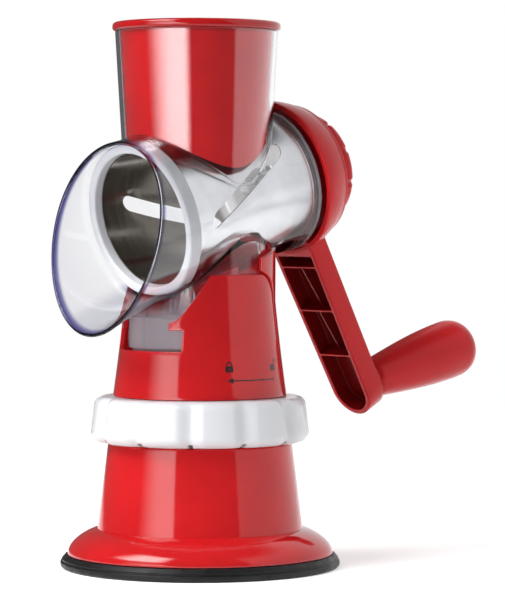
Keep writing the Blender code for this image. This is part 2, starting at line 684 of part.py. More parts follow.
def build_drum(looks, axis):
    """Slotted steel drum, its white front ring, back plate, drive hub and rivets."""
    pitch = 2 * math.pi / SLOT_COUNT
    spread = BLADE_SPREAD
    offsets = [0.0, spread / 2, spread]
    plain = pitch - SLOT_ANGLE - 2 * spread
    offsets += [spread + plain * i / 5 for i in range(1, 6)]
    offsets += [offsets[-1] + spread / 2, offsets[-1] + spread]
    last = len(offsets) - 1
    rows = [DRUM_FRONT, (DRUM_FRONT + SLOT_START) / 2]
    rows += [SLOT_START + (SLOT_END - SLOT_START) * i / 4 for i in range(5)]
    rows += [(DRUM_BACK + SLOT_END) / 2, DRUM_BACK]
    slot_rows = range(2, 6)
    per = len(offsets)
    count = per * SLOT_COUNT

    def lift(column, s):
        offset = offsets[column % per]
        inside = (s - SLOT_START) / (SLOT_END - SLOT_START)
        if inside <= 0.0 or inside >= 1.0:
            return 0.0
        swell = min(1.0, 4.0 * inside, 4.0 * (1.0 - inside))
        if offset <= spread:
            return BLADE_LIFT * swell * (1 - offset / spread)
        tail = offsets[last] - offset
        if tail <= spread:
            return -BLADE_DIP * swell * (1 - tail / spread)
        return 0.0

    bm = bmesh.new()
    skins = []
    for radius in (DRUM_RADIUS, DRUM_RADIUS - DRUM_SHEET):
        grid = []
        for s in rows:
            row = []
            for column in range(count):
                turn = SLOT_PHASE + SLOT_ANGLE / 2 + pitch * (column // per) + offsets[column % per]
                turn += SLOT_TWIST * s
                r = radius + lift(column, s)
                row.append(bm.verts.new((r * math.cos(turn), -r * math.sin(turn), s)))
            grid.append(row)
        skins.append(grid)
    outer, inner = skins

    def is_slot(row, column):
        return column % per == last and row in slot_rows

    for row in range(len(rows) - 1):
        for column in range(count):
            after = (column + 1) % count
            if is_slot(row, column):
                continue
            for grid in (outer, inner):
                low, high = grid[row], grid[row + 1]
                bm.faces.new((low[column], low[after], high[column]))
                bm.faces.new((low[after], high[after], high[column]))
    for row in (0, len(rows) - 1):
        for column in range(count):
            after = (column + 1) % count
            bm.faces.new((outer[row][column], outer[row][after], inner[row][after], inner[row][column]))
    for column in range(count):
        if column % per != last:
            continue
        after = (column + 1) % count
        for row in slot_rows:
            for side in (column, after):
                bm.faces.new((outer[row][side], outer[row + 1][side], inner[row + 1][side], inner[row][side]))
        for row in (slot_rows[0], slot_rows[-1] + 1):
            bm.faces.new((outer[row][column], outer[row][after], inner[row][after], inner[row][column]))
    finished("drum_shell", bm, axis, looks["steel"])

    lip = DRUM_RADIUS - RING_FRONT_LIP
    seat = DRUM_FRONT - GAP
    edge = RING_FRONT_WALL * 0.2
    turned("drum_front_ring", [
        (RING_FRONT_BORE, RING_BACK_S), (RING_FRONT_RADIUS - edge, RING_BACK_S),
        (RING_FRONT_RADIUS, RING_BACK_S - edge), (RING_FRONT_RADIUS, RING_FRONT_S + edge),
        (RING_FRONT_RADIUS - edge, RING_FRONT_S), (DRUM_RADIUS + edge, RING_FRONT_S),
        (DRUM_RADIUS, RING_FRONT_S + edge), (lip, seat), (RING_FRONT_BORE, seat)],
        FINE, axis, looks["white"])

    plate = turned("drum_back_plate", [
        (HUB_RADIUS + GAP, PLATE_FRONT_S), (DRUM_RADIUS - DRUM_SHEET - GAP, PLATE_FRONT_S),
        (DRUM_RADIUS - DRUM_SHEET - GAP, PLATE_BACK_S), (HUB_RADIUS + GAP, PLATE_BACK_S)],
        MEDIUM, axis, looks["steel"])
    hub = turned("drum_hub", [
        (0.0, HUB_FRONT_S), (HUB_RADIUS, HUB_FRONT_S), (HUB_RADIUS, PLATE_BACK_S + GAP),
        (HUB_FLANGE, PLATE_BACK_S + GAP), (HUB_FLANGE, HUB_BACK_S), (0.0, HUB_BACK_S)],
        SMALL, axis, looks["white"])
    cut(hub, prism("hub_socket", polygon(6, hex_radius(SHAFT_FLATS) + BORE_GAP / math.cos(math.pi / 6)),
                   HUB_FRONT_S - GAP, HUB_BACK_S + GAP, along_z, axis))
    holes = bmesh.new()
    near = PLATE_FRONT_S - GAP
    far = HUB_BACK_S + GAP
    for i in range(RIVET_COUNT):
        a = 2 * math.pi * (i + 0.5) / RIVET_COUNT
        x = RIVET_CIRCLE * math.cos(a)
        y = RIVET_CIRCLE * math.sin(a)
        prism_into(holes, polygon(TINY, RIVET_RADIUS + BORE_GAP, x, y), PLATE_FRONT_S - GAP,
                   HUB_BACK_S + GAP, along_z)
        seat = empty(f"rivet_seat_{i + 1}", (x, y, 0.0), (0.0, 0.0, 0.0), axis)
        turned(f"drum_rivet_{i + 1}", [
            (0.0, near - RIVET_HEAD_HEIGHT), (RIVET_HEAD * 0.8, near - RIVET_HEAD_HEIGHT),
            (RIVET_HEAD, near), (RIVET_RADIUS, near), (RIVET_RADIUS, far), (RIVET_HEAD, far),
            (RIVET_HEAD * 0.8, far + RIVET_HEAD_HEIGHT * 0.5), (0.0, far + RIVET_HEAD_HEIGHT * 0.5)],
            TINY, seat, looks["steel"])
    hole_set = finished("rivet_holes", holes, axis)
    cut(plate, hole_set)
    cut(hub, hole_set)


def hopper_radius(z):
    """Outer radius of the hopper at a height."""
    return HOPPER_LOW_RADIUS + HOPPER_SPREAD * (z - AXIS_HEIGHT)


def build_housing(looks, axis):
    """The clear moulding: drum chamber, scoop, hopper, skirt and front tab."""
    count = FINE
    stations = [DRUM_BACK, BELL_START] + [BELL_START - (BELL_START - RING_BACK_S) * i / 4 for i in (2, 3, 4)]
    steps = (0.3, 0.55, 0.78, 1.0)
    rings = [circle_ring(RIM_RADIUS - CHAMBER_BEAD * 2, WALL_BACK_S, count),
             circle_ring(RIM_RADIUS, WALL_BACK_S - CHAMBER_BEAD * 2, count),
             circle_ring(RIM_RADIUS, WALL_FRONT_S, count)]
    rings += [circle_ring(chamber_bore(s) + CHAMBER_WALL, s, count) for s in stations]
    rings += [scoop_ring(v, 0.0, count) for v in (0.0,) + steps]
    shell = lofted("drum_housing", rings, False, axis, looks["clear"])

    inner = [circle_ring(CHAMBER_BORE, WALL_FRONT_S, count)]
    inner += [circle_ring(chamber_bore(s), s, count) for s in stations]
    inner += [scoop_ring(v, CHAMBER_WALL, count) for v in (0.0,) + steps]
    inner += [[(x, y, s - CHAMBER_WALL * 3) for x, y, s in inner[-1]]]
    core = lofted("chamber_core", inner, False, axis)

    place = empty("hopper_axis", (0.0, HOPPER_CENTRE, 0.0))
    low = hopper_radius(AXIS_HEIGHT)
    high = hopper_radius(HOPPER_TOP)
    hopper = turned("hopper_body", [(0.0, AXIS_HEIGHT), (low, AXIS_HEIGHT), (high, HOPPER_TOP),
                                    (0.0, HOPPER_TOP)], MEDIUM, place)
    over = HOPPER_TOP + 0.005
    start = AXIS_HEIGHT + 0.002
    bore = turned("hopper_bore", [(0.0, start), (hopper_radius(start) - HOPPER_WALL, start),
                                  (hopper_radius(over) - HOPPER_WALL, over), (0.0, over)], MEDIUM, place)

    skirt_out = min(STAND_TOP_RADIUS, POST_RADIUS) - STAND_WALL - SKIRT_GAP
    skirt_in = skirt_out - SKIRT_WALL
    skirt_low = UPPER_LOW + SKIRT_DEPTH
    skirt_high = AXIS_HEIGHT - 0.006
    skirt = turned("skirt_body", [(skirt_in, skirt_low), (skirt_out, skirt_low), (skirt_out, skirt_high),
                                  (skirt_in, skirt_high)], MEDIUM)
    sill = UPPER_LOW + WINDOW_SILL
    tab_out = skirt_out + TAB_PROUD
    tab = turned("tab_body", [(skirt_in + SKIRT_WALL / 2, sill + GAP * 2), (tab_out, sill + GAP * 2),
                              (tab_out, sill + TAB_TOP), (skirt_in + SKIRT_WALL / 2, sill + TAB_TOP)], MEDIUM)
    keep = prism("tab_keep", [(-TAB_HALF, sill - 0.01), (TAB_HALF, sill - 0.01),
                              (TAB_HALF, sill + 0.05), (-TAB_HALF, sill + 0.05)],
                 -PAD_RADIUS, -skirt_in * 0.3, along_y)
    boolean(tab, keep, "INTERSECT")
    bush_hole = prism("bush_hole", polygon(SMALL, BUSH_RADIUS + GAP), WALL_FRONT_S - 0.002,
                      WALL_BACK_S + 0.002, along_z, axis)
    join(shell, hopper, skirt, tab)
    cut(shell, core, bore, bush_hole)

    guard = prism("chamber_guard", polygon(FINE, CHAMBER_RADIUS + GAP * 1.2), SCOOP_START, WALL_BACK_S + 0.02,
                  along_z, axis)
    return guard, place


def build_pusher(looks, place, axis):
    """Open red cup with a saddle-shaped bottom that follows the drum."""
    low = AXIS_HEIGHT + 0.006
    rim_low = HOPPER_TOP + GAP
    rim_high = rim_low + PUSHER_RIM
    wide = hopper_radius(HOPPER_TOP) + PUSHER_RIM_OVER
    soft = PUSHER_RIM * 0.3

    def body(z):
        return hopper_radius(z) - HOPPER_WALL - PUSHER_GAP

    cup = turned("pusher", [
        (0.0, low), (body(low), low), (body(rim_low), rim_low), (wide - soft, rim_low),
        (wide, rim_low + soft), (wide, rim_high - soft), (wide - soft, rim_high), (0.0, rim_high)],
        MEDIUM, place, looks["red"])
    saddle = CHAMBER_BORE + PUSHER_LIFT
    cut(cup, prism("pusher_saddle", polygon(FINE, saddle), -0.09, 0.09, along_z, axis))
    over = rim_high + 0.004
    hollow = turned("pusher_hollow", [
        (0.0, low - 0.004), (body(low) - PUSHER_WALL, low - 0.004),
        (body(over) - PUSHER_WALL, over), (0.0, over)], MEDIUM, place)
    cut(hollow, prism("pusher_floor", polygon(FINE, saddle + PUSHER_WALL), -0.09, 0.09, along_z, axis))
    cut(cup, hollow)


def build_drive(looks, axis):
    """Bush, spacer, hexagonal shaft, hub screw and notched cap."""
    flange_s = WALL_FRONT_S - GAP - BUSH_FLANGE_THICK
    turned("shaft_bush", [
        (BUSH_BORE, flange_s), (BUSH_RADIUS + BUSH_FLANGE, flange_s),
        (BUSH_RADIUS + BUSH_FLANGE, flange_s + BUSH_FLANGE_THICK), (BUSH_RADIUS, flange_s + BUSH_FLANGE_THICK),
        (BUSH_RADIUS, WALL_BACK_S), (BUSH_BORE, WALL_BACK_S)], SMALL, axis, looks["acetal"])
    turned("crank_spacer", [
        (BUSH_BORE, SPACER_FRONT_S), (SPACER_RADIUS, SPACER_FRONT_S),
        (SPACER_RADIUS, SPACER_FRONT_S + SPACER_THICK), (BUSH_BORE, SPACER_FRONT_S + SPACER_THICK)],
        SMALL, axis, looks["acetal"])
    shaft = prism("drive_shaft", polygon(6, hex_radius(SHAFT_FLATS)), HUB_FRONT_S - SHAFT_TIP,
                  SHAFT_BACK_S - GAP, along_z, axis, looks["steel"])
    join(shaft, prism("journal", polygon(SMALL, SHAFT_JOURNAL), HUB_BACK_S + GAP * 2,
                      DISC_FRONT_S - GAP, along_z, axis))
    screw_back = DISC_BACK_S + GAP
    screw_front = screw_back - HUB_SCREW_LENGTH
    drill = prism("screw_drill", polygon(TINY, HUB_SCREW_SHANK + BORE_GAP), screw_front - GAP,
                  screw_back + GAP, along_z, axis)
    cut(shaft, drill)
    turned("hub_screw", [
        (0.0, screw_front), (HUB_SCREW_SHANK, screw_front), (HUB_SCREW_SHANK, screw_back),
        (HUB_SCREW_HEAD, screw_back), (HUB_SCREW_HEAD, screw_back + HUB_SCREW_HEAD_HEIGHT * 0.6),
        (HUB_SCREW_HEAD * 0.7, screw_back + HUB_SCREW_HEAD_HEIGHT), (0.0, screw_back + HUB_SCREW_HEAD_HEIGHT)],
        TINY, axis, looks["steel"])

    flat = CAP_RADIUS - CAP_ROUND
    cap_outer = [(flat + CAP_ROUND * math.cos(a), CAP_BACK_S - CAP_ROUND + CAP_ROUND * math.sin(a))
                 for a in (math.radians(angle) for angle in (5, 40, 75))]
    cap = turned("hub_cap", [(0.0, CAP_BACK_S - CAP_WALL), (flat - CAP_WALL * 0.4, CAP_BACK_S - CAP_WALL),
                             (CAP_RADIUS - CAP_WALL, CAP_BACK_S - CAP_ROUND), (CAP_RADIUS - CAP_WALL, CAP_FRONT_S),
                             (CAP_RADIUS, CAP_FRONT_S)] + cap_outer + [(0.0, CAP_BACK_S)],
                 MEDIUM, axis, looks["red"])
    notches = bmesh.new()
    for i in range(CAP_NOTCHES):
        a = 2 * math.pi * i / CAP_NOTCHES
        x = CAP_RADIUS * math.cos(a)
        y = CAP_RADIUS * math.sin(a)
        prism_into(notches, polygon(8, CAP_NOTCH * 1.6, x, y), CAP_FRONT_S + CAP_DEPTH * 0.35,
                   CAP_BACK_S + 0.002, along_z)
    cut(cap, finished("cap_notches", notches, axis))
    return drill


def build_crank(looks, axis, drill):
    """Crank disc and ribbed arm in one moulding, with the grip, its pin and their axis."""
    front = DISC_FRONT_S
    back = DISC_BACK_S
    rear_edge = DISC_RADIUS - DISC_TAPER
    side = []
    for i in range(4):
        share = i / 3
        side.append((DISC_RADIUS - DISC_TAPER * share ** 1.5, front + 0.002 + (DISC_DEPTH - 0.002 - DISC_EDGE) * share))
    inner = [(r - DISC_WALL, s) for r, s in side if s < back - DISC_WALL - DISC_EDGE]
    crank = turned("crank_arm", [
        (0.0, front), (BOSS_RADIUS, front), (BOSS_RADIUS, back - DISC_WALL),
        (rear_edge - DISC_WALL, back - DISC_WALL)] + list(reversed(inner))
        + [(DISC_RADIUS - DISC_WALL, front), (DISC_RADIUS, front)] + side
        + [(rear_edge - DISC_EDGE, back), (0.0, back)], FINE, axis, looks["red"])

    frame = empty("arm_frame", (0.0, ARM_START, ARM_FRONT_S), (ARM_LEAN, 0.0, 0.0), axis)

    def half(t):
        return ARM_HALF_ROOT + (ARM_HALF_END - ARM_HALF_ROOT) * max(0.0, t) / ARM_REACH

    def tongue(start, inset):
        end = arc(0.0, ARM_REACH, half(ARM_REACH) - inset, half(ARM_REACH) - inset, 0, 180, 10)
        return [(-(half(start) - inset), start), (half(start) - inset, start)] + end

    body = prism("arm_body", tongue(-ARM_ROOT, 0.0), 0.0, ARM_DEPTH, along_z, frame)
    boss_back = GRIP_FRONT_S - GAP
    boss = prism("grip_boss", polygon(SMALL, GRIP_BOSS_RADIUS, 0.0, GRIP_DOWN),
                 ARM_BACK_S - ARM_WALL - 0.003, boss_back, along_z, axis)
    pockets = bmesh.new()
    walls = [0.0008 - ARM_RIB / 2] + list(ARM_RIBS)
    for start, end in zip(walls, walls[1:]):
        near = start + ARM_RIB / 2
        far = end - ARM_RIB / 2
        for sign in (-1, 1):
            cell = [(sign * ARM_RIB / 2, near), (sign * (half(near) - ARM_WALL), near),
                    (sign * (half(far) - ARM_WALL), far), (sign * ARM_RIB / 2, far)]
            prism_into(pockets, cell, -0.004, ARM_POCKET, along_z)
    prism_into(pockets, tongue(ARM_RIBS[-1] + ARM_RIB / 2, ARM_WALL), -0.004, ARM_POCKET, along_z)
    socket = prism("crank_socket", polygon(6, hex_radius(SHAFT_FLATS) + BORE_GAP / math.cos(math.pi / 6)),
                   front - 0.002, SHAFT_BACK_S, along_z, axis)
    pin_front = ARM_BACK_S - ARM_WALL * 0.4
    pin_hole = prism("pin_hole", polygon(TINY, GRIP_PIN_RADIUS + BORE_GAP, 0.0, GRIP_DOWN),
                     pin_front - GAP, boss_back + 0.002, along_z, axis)
    join(crank, body, boss)
    cut(crank, finished("arm_pockets", pockets, frame), socket, drill, pin_hole)

    pivot = empty("grip_axis", (0.0, GRIP_DOWN, 0.0), (0.0, 0.0, 0.0), axis)
    root = GRIP_FRONT_S
    swell_end = GRIP_BACK_S - GRIP_DOME
    outline = []
    for i in range(7):
        share = i / 6
        r = GRIP_ROOT_RADIUS + (GRIP_RADIUS - GRIP_ROOT_RADIUS) * math.sin(share * math.pi / 2) ** 1.1
        outline.append((r, root + (swell_end - root) * share))
    for angle in (20, 40, 60, 76):
        a = math.radians(angle)
        outline.append((GRIP_RADIUS * math.cos(a) ** 0.75, swell_end + GRIP_DOME * math.sin(a) ** 0.85))
    head_end = GRIP_BACK_S - GRIP_PIN_END
    head_start = head_end - GRIP_PIN_HEAD_LENGTH
    bore = GRIP_PIN_RADIUS + BORE_GAP
    turned("grip", [
        (0.0, head_end + GAP), (GRIP_PIN_HEAD + GAP, head_end + GAP), (GRIP_PIN_HEAD + GAP, head_start - GAP),
        (bore, head_start - GAP), (bore, root)] + outline + [(0.0, GRIP_BACK_S)], MEDIUM - 8, pivot, looks["red"])
    turned("grip_pin", [
        (0.0, pin_front), (GRIP_PIN_RADIUS, pin_front), (GRIP_PIN_RADIUS, head_start),
        (GRIP_PIN_HEAD, head_start), (GRIP_PIN_HEAD * 0.7, head_end), (0.0, head_end)], TINY, pivot, looks["steel"])


def main():
    """Build every piece."""
    clear_scene()
    looks = {
        "red": material("red_plastic", RED, 0.22),
        "white": material("white_plastic", WHITE, 0.30),
        "clear": material("clear_plastic", CLEAR, 0.05, 0.0, 0.9),
        "steel": material("stainless_steel", STEEL, 0.22, 1.0),
        "rubber": material("black_rubber", BLACK, 0.6),
        "brass": material("brass", BRASS, 0.35, 1.0),
        "acetal": material("acetal", ACETAL, 0.4),
    }
    hole_set = build_base(looks)
    build_lock(looks)
    axis = empty("drum_axis", (0.0, 0.0, AXIS_HEIGHT), (TILT - math.pi / 2, 0.0, 0.0))
    guard, place = build_housing(looks, axis)
    build_upper_stand(looks, hole_set, guard)
    build_drum(looks, axis)
    build_pusher(looks, place, axis)
    drill = build_drive(looks, axis)
    build_crank(looks, axis, drill)


main()
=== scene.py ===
"""Looks of a hand cranked drum vegetable cutter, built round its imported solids.

Metres, +Z up, in the frame of the solids: the bench is z = 0, the stand's axis is the z axis, food
leaves towards -Y and the crank is at +Y.  Each sub-assembly is a class with its sizes as fields.
"""

import json
import logging
import math
from dataclasses import dataclass, field
from enum import Enum
from typing import Callable, Sequence

import bmesh
import bpy
import numpy as np
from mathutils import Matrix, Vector
from mathutils.geometry import delaunay_2d_cdt


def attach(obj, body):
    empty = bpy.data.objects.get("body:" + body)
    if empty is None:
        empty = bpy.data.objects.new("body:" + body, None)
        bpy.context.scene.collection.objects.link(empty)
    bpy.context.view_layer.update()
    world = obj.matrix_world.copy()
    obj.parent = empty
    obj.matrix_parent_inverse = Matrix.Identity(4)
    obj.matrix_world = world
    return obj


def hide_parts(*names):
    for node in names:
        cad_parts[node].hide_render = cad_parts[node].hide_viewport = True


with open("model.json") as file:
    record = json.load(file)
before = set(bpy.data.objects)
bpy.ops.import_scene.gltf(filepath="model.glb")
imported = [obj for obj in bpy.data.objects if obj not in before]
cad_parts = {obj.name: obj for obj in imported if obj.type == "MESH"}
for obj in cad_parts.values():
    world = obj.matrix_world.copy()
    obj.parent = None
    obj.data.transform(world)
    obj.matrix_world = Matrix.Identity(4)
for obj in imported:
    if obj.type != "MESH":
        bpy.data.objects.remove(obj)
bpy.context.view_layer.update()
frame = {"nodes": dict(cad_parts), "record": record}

log = logging.getLogger("cutter")

Array = np.ndarray
Part = tuple[Array, Array]
Place = Callable[[Array, Array, Array], Array]
Pair = tuple[float, float]
Triple = tuple[float, float, float]
Thing = bpy.types.Object
Socket = bpy.types.NodeSocket

TURN = 2.0 * math.pi
QUARTER = math.pi / 2.0
MILLI = 1000.0
length_of = np.linalg.norm


# Frames in space


@dataclass(frozen=True)
class Axis:
    """A straight frame: an origin and three unit directions, by default those of the stand."""

    origin: Triple
    across: Triple = (1.0, 0.0, 0.0)
    up: Triple = (0.0, -1.0, 0.0)
    along: Triple = (0.0, 0.0, 1.0)

    def at(self, a: Array | float, b: Array | float, c: Array | float) -> Array:
        """Points of the frame: origin plus a times across, b times up and c times along.

        Args:
            a: Distances across.
            b: Distances up.
            c: Distances along.

        Returns:
            The points, with x, y, z in the last dimension.
        """
        a, b, c = np.broadcast_arrays(np.asarray(a, float), b, c)
        parts = a[..., None] * np.array(self.across) + b[..., None] * np.array(self.up)
        return np.array(self.origin) + parts + c[..., None] * np.array(self.along)

    def split(self, points: Array) -> tuple[Array, Array, Array]:
        """Distances of points across, up and along."""
        away = points - np.array(self.origin)
        return away @ np.array(self.across), away @ np.array(self.up), away @ np.array(self.along)

    def shifted(self, a: float, b: float, c: float) -> "Axis":
        """The same directions from another origin."""
        return Axis(tuple(self.at(a, b, c)), self.across, self.up, self.along)


@dataclass(frozen=True)
class Layout:
    """Places that several pieces share, as the solids have them."""

    tilt: float = math.radians(13.5)
    axis_height: float = 0.1770
    upper_low: float = 0.0833
    upper_height: float = 0.0591
    stand_top: float = 0.1424
    waist_radius: float = 0.0423
    top_radius: float = 0.0354
    sag: float = 0.0004
    sheet: float = 0.040
    hopper_y: float = -0.002
    hopper_root: float = 0.0347
    hopper_flare: float = 0.058
    hopper_top: float = 0.2595
    hopper_wall: float = 0.0018
    gap: float = 0.0003

    def stand_radius(self, z: Array) -> Array:
        """Outer radius of the upper stand: a cone drawn in a little half way up."""
        share = (np.minimum(z, self.stand_top) - self.upper_low) / self.upper_height
        straight = self.waist_radius + (self.top_radius - self.waist_radius) * share
        return straight - self.sag * 4.0 * share * (1.0 - share)

    def hopper_radius(self, z: Array) -> Array:
        """Outer radius of the hopper: it grows evenly with height."""
        return self.hopper_root + self.hopper_flare * (z - self.axis_height)

    def cylinder_height(self, x: Array, y: Array, radius: float | Array, side: float = 1.0) -> Array:
        """Height at which an upright line through x, y meets a cylinder about the drum's axis.

        Height = axis height + y tan(tilt) + side * sqrt(radius^2 - x^2) / cos(tilt).

        Args:
            x: Distance across.
            y: Distance back.
            radius: The cylinder's radius.
            side: 1 for its upper side and -1 for its lower one.

        Returns:
            The heights.
        """
        rise = np.sqrt(np.maximum(radius * radius - x * x, 0.0)) / math.cos(self.tilt)
        return self.axis_height + y * math.tan(self.tilt) + side * rise

    def under_hopper(self, r: Array, t: Array, radius: float | Array) -> Array:
        """Height where a cylinder about the drum's axis meets a line r out from the hopper's at t."""
        x = np.clip(r * np.sin(t), -0.999 * radius, 0.999 * radius)
        return self.cylinder_height(x, self.hopper_y - r * np.cos(t), radius)


LAYOUT = Layout()
UPRIGHT = Axis((0.0, 0.0, 0.0))
HOPPER = UPRIGHT.shifted(0.0, -LAYOUT.hopper_y, 0.0)
DRUM = Axis((0.0, 0.0, LAYOUT.axis_height), up=(0.0, -math.sin(LAYOUT.tilt), math.cos(LAYOUT.tilt)),
            along=(0.0, math.cos(LAYOUT.tilt), math.sin(LAYOUT.tilt)))


def wrapped(a: Array, z: Array, r: Array) -> Array:
    """Points at arc lengths a of the stand's sheet, heights z and distances r from its axis."""
    return UPRIGHT.at(r * np.sin(a / LAYOUT.sheet), r * np.cos(a / LAYOUT.sheet), z)


# Outlines and surfaces


def around(count: int) -> Array:
    """The angles of one turn in even steps, as a column."""
    return (TURN * np.arange(count) / count)[:, None]


def smooth(share: Array) -> Array:
    """Smooth step of a share from 0 to 1: 3 share^2 - 2 share^3."""
    return share * share * (3.0 - 2.0 * share)


def ramp(value: Array, start: float, width: float) -> Array:
    """Straight step of a value from 0 at start to 1 past a width."""
    return np.clip((value - start) / width, 0.0, 1.0)


def rounded(corners: Sequence[Sequence[float]], steps: int = 5, support: float = 0.0004) -> Array:
    """Outline through corners (a, b) or (a, b, radius), each radius an arc tangent to both sides.

    An arc starts and ends radius / tan(half the corner's angle) from its corner, and its points
    turn evenly about its centre.  Long straight sides get a point close to either end, so that
    smooth shading stays near the round corners.

    Args:
        corners: The corners in order, of an open outline.
        steps: Parts of each arc.
        support: Distance of the extra points from the ends of a straight side.

    Returns:
        The points, one row each.
    """
    flat = [np.array(corner[:2], float) for corner in corners]
    k = np.linspace(0.0, 1.0, steps + 1)[:, None]
    rows: list[Array] = []
    for i, corner in enumerate(corners):
        bend = flat[i][None]
        if len(corner) > 2:
            back, ahead = flat[i - 1] - flat[i], flat[i + 1] - flat[i]
            room = 0.49 * min(length_of(back), length_of(ahead))
            back, ahead = back / length_of(back), ahead / length_of(ahead)
            half = 0.5 * math.acos(float(np.clip(back @ ahead, -1.0, 1.0)))
            reach = min(corner[2] / math.tan(half), room)
            radius = reach * math.tan(half)
            middle = (back + ahead) / length_of(back + ahead) * radius / math.sin(half)
            start, end = back * reach - middle, ahead * reach - middle
            swing = math.pi - 2.0 * half
            bend = (np.sin((1.0 - k) * swing) * start + np.sin(k * swing) * end) / math.sin(swing)
            bend = flat[i] + middle + bend
        if rows:
            start, end = rows[-1][-1], bend[0]
            length = float(length_of(end - start))
            if length > 4.0 * support:
                way = (end - start) / length
                rows.append(np.stack([start + way * support, end - way * support]))
        rows.append(bend)
    return np.concatenate(rows)


def line(start: Pair | Array, end: Pair | Array, spacing: float = 0.001) -> Array:
    """Evenly spaced points from start up to, but not at, end."""
    a, b = np.array(start, float), np.array(end, float)
    count = max(1, int(round(float(length_of(b - a)) / spacing)))
    return a + (b - a) * (np.arange(count) / count)[:, None]


def circle(radius: float, count: int, centre: Pair = (0.0, 0.0)) -> Array:
    """Anticlockwise points on a circle."""
    t = around(count)
    return np.array(centre) + radius * np.concatenate([np.cos(t), np.sin(t)], 1)


def brim(radius: float, steps: int = 4) -> list[Pair]:
    """Inset and depth of a rounded edge, from the near face down to the side."""
    k = np.linspace(0.0, QUARTER, steps + 1)
    return [(radius * (1.0 - math.sin(a)), radius * (1.0 - math.cos(a))) for a in k]


def heel(radius: float, depth: float, steps: int = 4) -> list[Pair]:
    """Inset and depth of a rounded edge, from the side on to a face at a depth."""
    return [(shift, depth - down) for shift, down in reversed(brim(radius, steps))]


def inset(outline: Array, depth: float) -> Array:
    """A closed outline moved to its left by depth, with mitred corners.

    Each point moves by depth times the sum of its two sides' normals, over one plus their product.

    Args:
        outline: Points of the outline, without a repeated end.
        depth: How far each side moves to the left of the way it runs.

    Returns:
        The moved points, in the same order.
    """
    side = np.roll(outline, -1, 0) - outline
    side = side / length_of(side, axis=1)[:, None]
    normal = np.stack([-side[:, 1], side[:, 0]], 1)
    before = np.roll(normal, 1, 0)
    return outline + depth * (normal + before) / (1.0 + np.sum(normal * before, 1))[:, None]


def inside(points: Array, loops: Sequence[Array]) -> Array:
    """Which points lie inside the loops, by counting the sides that a level line to the left meets."""
    hits = np.zeros(len(points), int)
    x, y = points[:, :1], points[:, 1:2]
    least = 1e-15
    for a in loops:
        b = np.roll(a, -1, 0)
        rise = np.where(np.abs(b[:, 1] - a[:, 1]) < least, least, b[:, 1] - a[:, 1])
        meet = a[:, 0] + (y - a[:, 1]) / rise * (b[:, 0] - a[:, 0])
        hits += np.sum(((a[:, 1] > y) != (b[:, 1] > y)) & (meet < x), 1)
    return hits % 2 == 1


def clearance(points: Array, loops: Sequence[Array]) -> Array:
    """Distance of each point from the nearest side of the loops.

    The foot of the distance lies on the side at the share (point - start) . side / side . side,
    held between 0 and 1.
    """
    start = np.concatenate(loops)
    side = np.concatenate([np.roll(loop, -1, 0) for loop in loops]) - start
    away = points[:, None] - start[None]
    share = np.clip(np.sum(away * side, 2) / np.sum(side * side, 1), 0.0, 1.0)
    return np.min(length_of(away - share[..., None] * side, axis=2), 1)


def within(points: Array, triangles: Array, fixed: Array, loops: Sequence[Array]) -> Array:
    """Which triangles fill the loops.

    Triangles that meet across an edge of no loop share a label, the least of their numbers.  The
    largest triangle of each label decides by its centre, and a label without area is dropped.

    Args:
        points: The corners.
        triangles: Three corners each.
        fixed: Edges that lie on a loop.
        loops: Outer loop and holes.

    Returns:
        True for each triangle that is kept.
    """
    sides = np.sort(np.stack([triangles, np.roll(triangles, -1, 1)], 2).reshape(-1, 2), 1)
    bars = np.sort(fixed, 1) @ np.array([len(points), 1])
    keys = sides @ np.array([len(points), 1])
    order = np.argsort(keys, kind="stable")
    keys, owner = keys[order], np.repeat(np.arange(len(triangles)), 3)[order]
    twin = (keys[1:] == keys[:-1]) & ~np.isin(keys[1:], bars)
    first, second = owner[:-1][twin], owner[1:][twin]
    label, before = np.arange(len(triangles)), None
    while before is None or not np.array_equal(label, before):
        before = label
        least = np.minimum(label[first], label[second])
        label = label.copy()
        np.minimum.at(label, first, least)
        np.minimum.at(label, second, least)
        label = label[label]
    a, b, c = (points[triangles[:, i]] for i in range(3))
    area = np.abs((b - a)[:, 0] * (c - a)[:, 1] - (b - a)[:, 1] * (c - a)[:, 0])
    ranked = np.lexsort((area, label))
    last = ranked[np.append(label[ranked][1:] != label[ranked][:-1], True)]
    kept = np.zeros(len(triangles), bool)
    kept[label[last]] = inside(points[triangles[last]].mean(1), loops)
    return kept[label] & (np.bincount(label, area, len(triangles))[label] > 1e-11)


def grid_faces(rows: int, columns: int, wrap_rows: bool, wrap_columns: bool) -> Array:
    """Quads between neighbouring points of a grid, whose rows and columns may close on themselves."""
    i, j = np.meshgrid(np.arange(rows if wrap_rows else rows - 1),
                       np.arange(columns if wrap_columns else columns - 1), indexing="ij")
    after_i, after_j = (i + 1) % rows * columns, (j + 1) % columns
    i = i * columns
    return np.stack([i + j, after_i + j, after_i + after_j, i + after_j], -1).reshape(-1, 4)


def grid(points: Array, wrap_rows: bool = True, wrap_columns: bool = False) -> Part:
    """A surface from a grid of points, rows by columns by 3."""
    return points.reshape(-1, 3), grid_faces(*points.shape[:2], wrap_rows, wrap_columns)


def lathe(profile: Array, axis: Axis, steps: int = 200) -> Part:
    """Surface of revolution: r sin(t) across, r cos(t) up and the profile's height along.

    A profile whose ends both lie on the axis closes there; any other closes on itself.

    Args:
        profile: Rows of radius and height.
        axis: The frame it turns in.
        steps: Facets round.

    Returns:
        Points and quads.
    """
    t = around(steps)
    r, height = np.asarray(profile).T[:, None]
    closed = r[0, 0] > 1e-9 or r[0, -1] > 1e-9
    return grid(axis.at(r * np.sin(t), r * np.cos(t), height + 0.0 * t), True, closed)


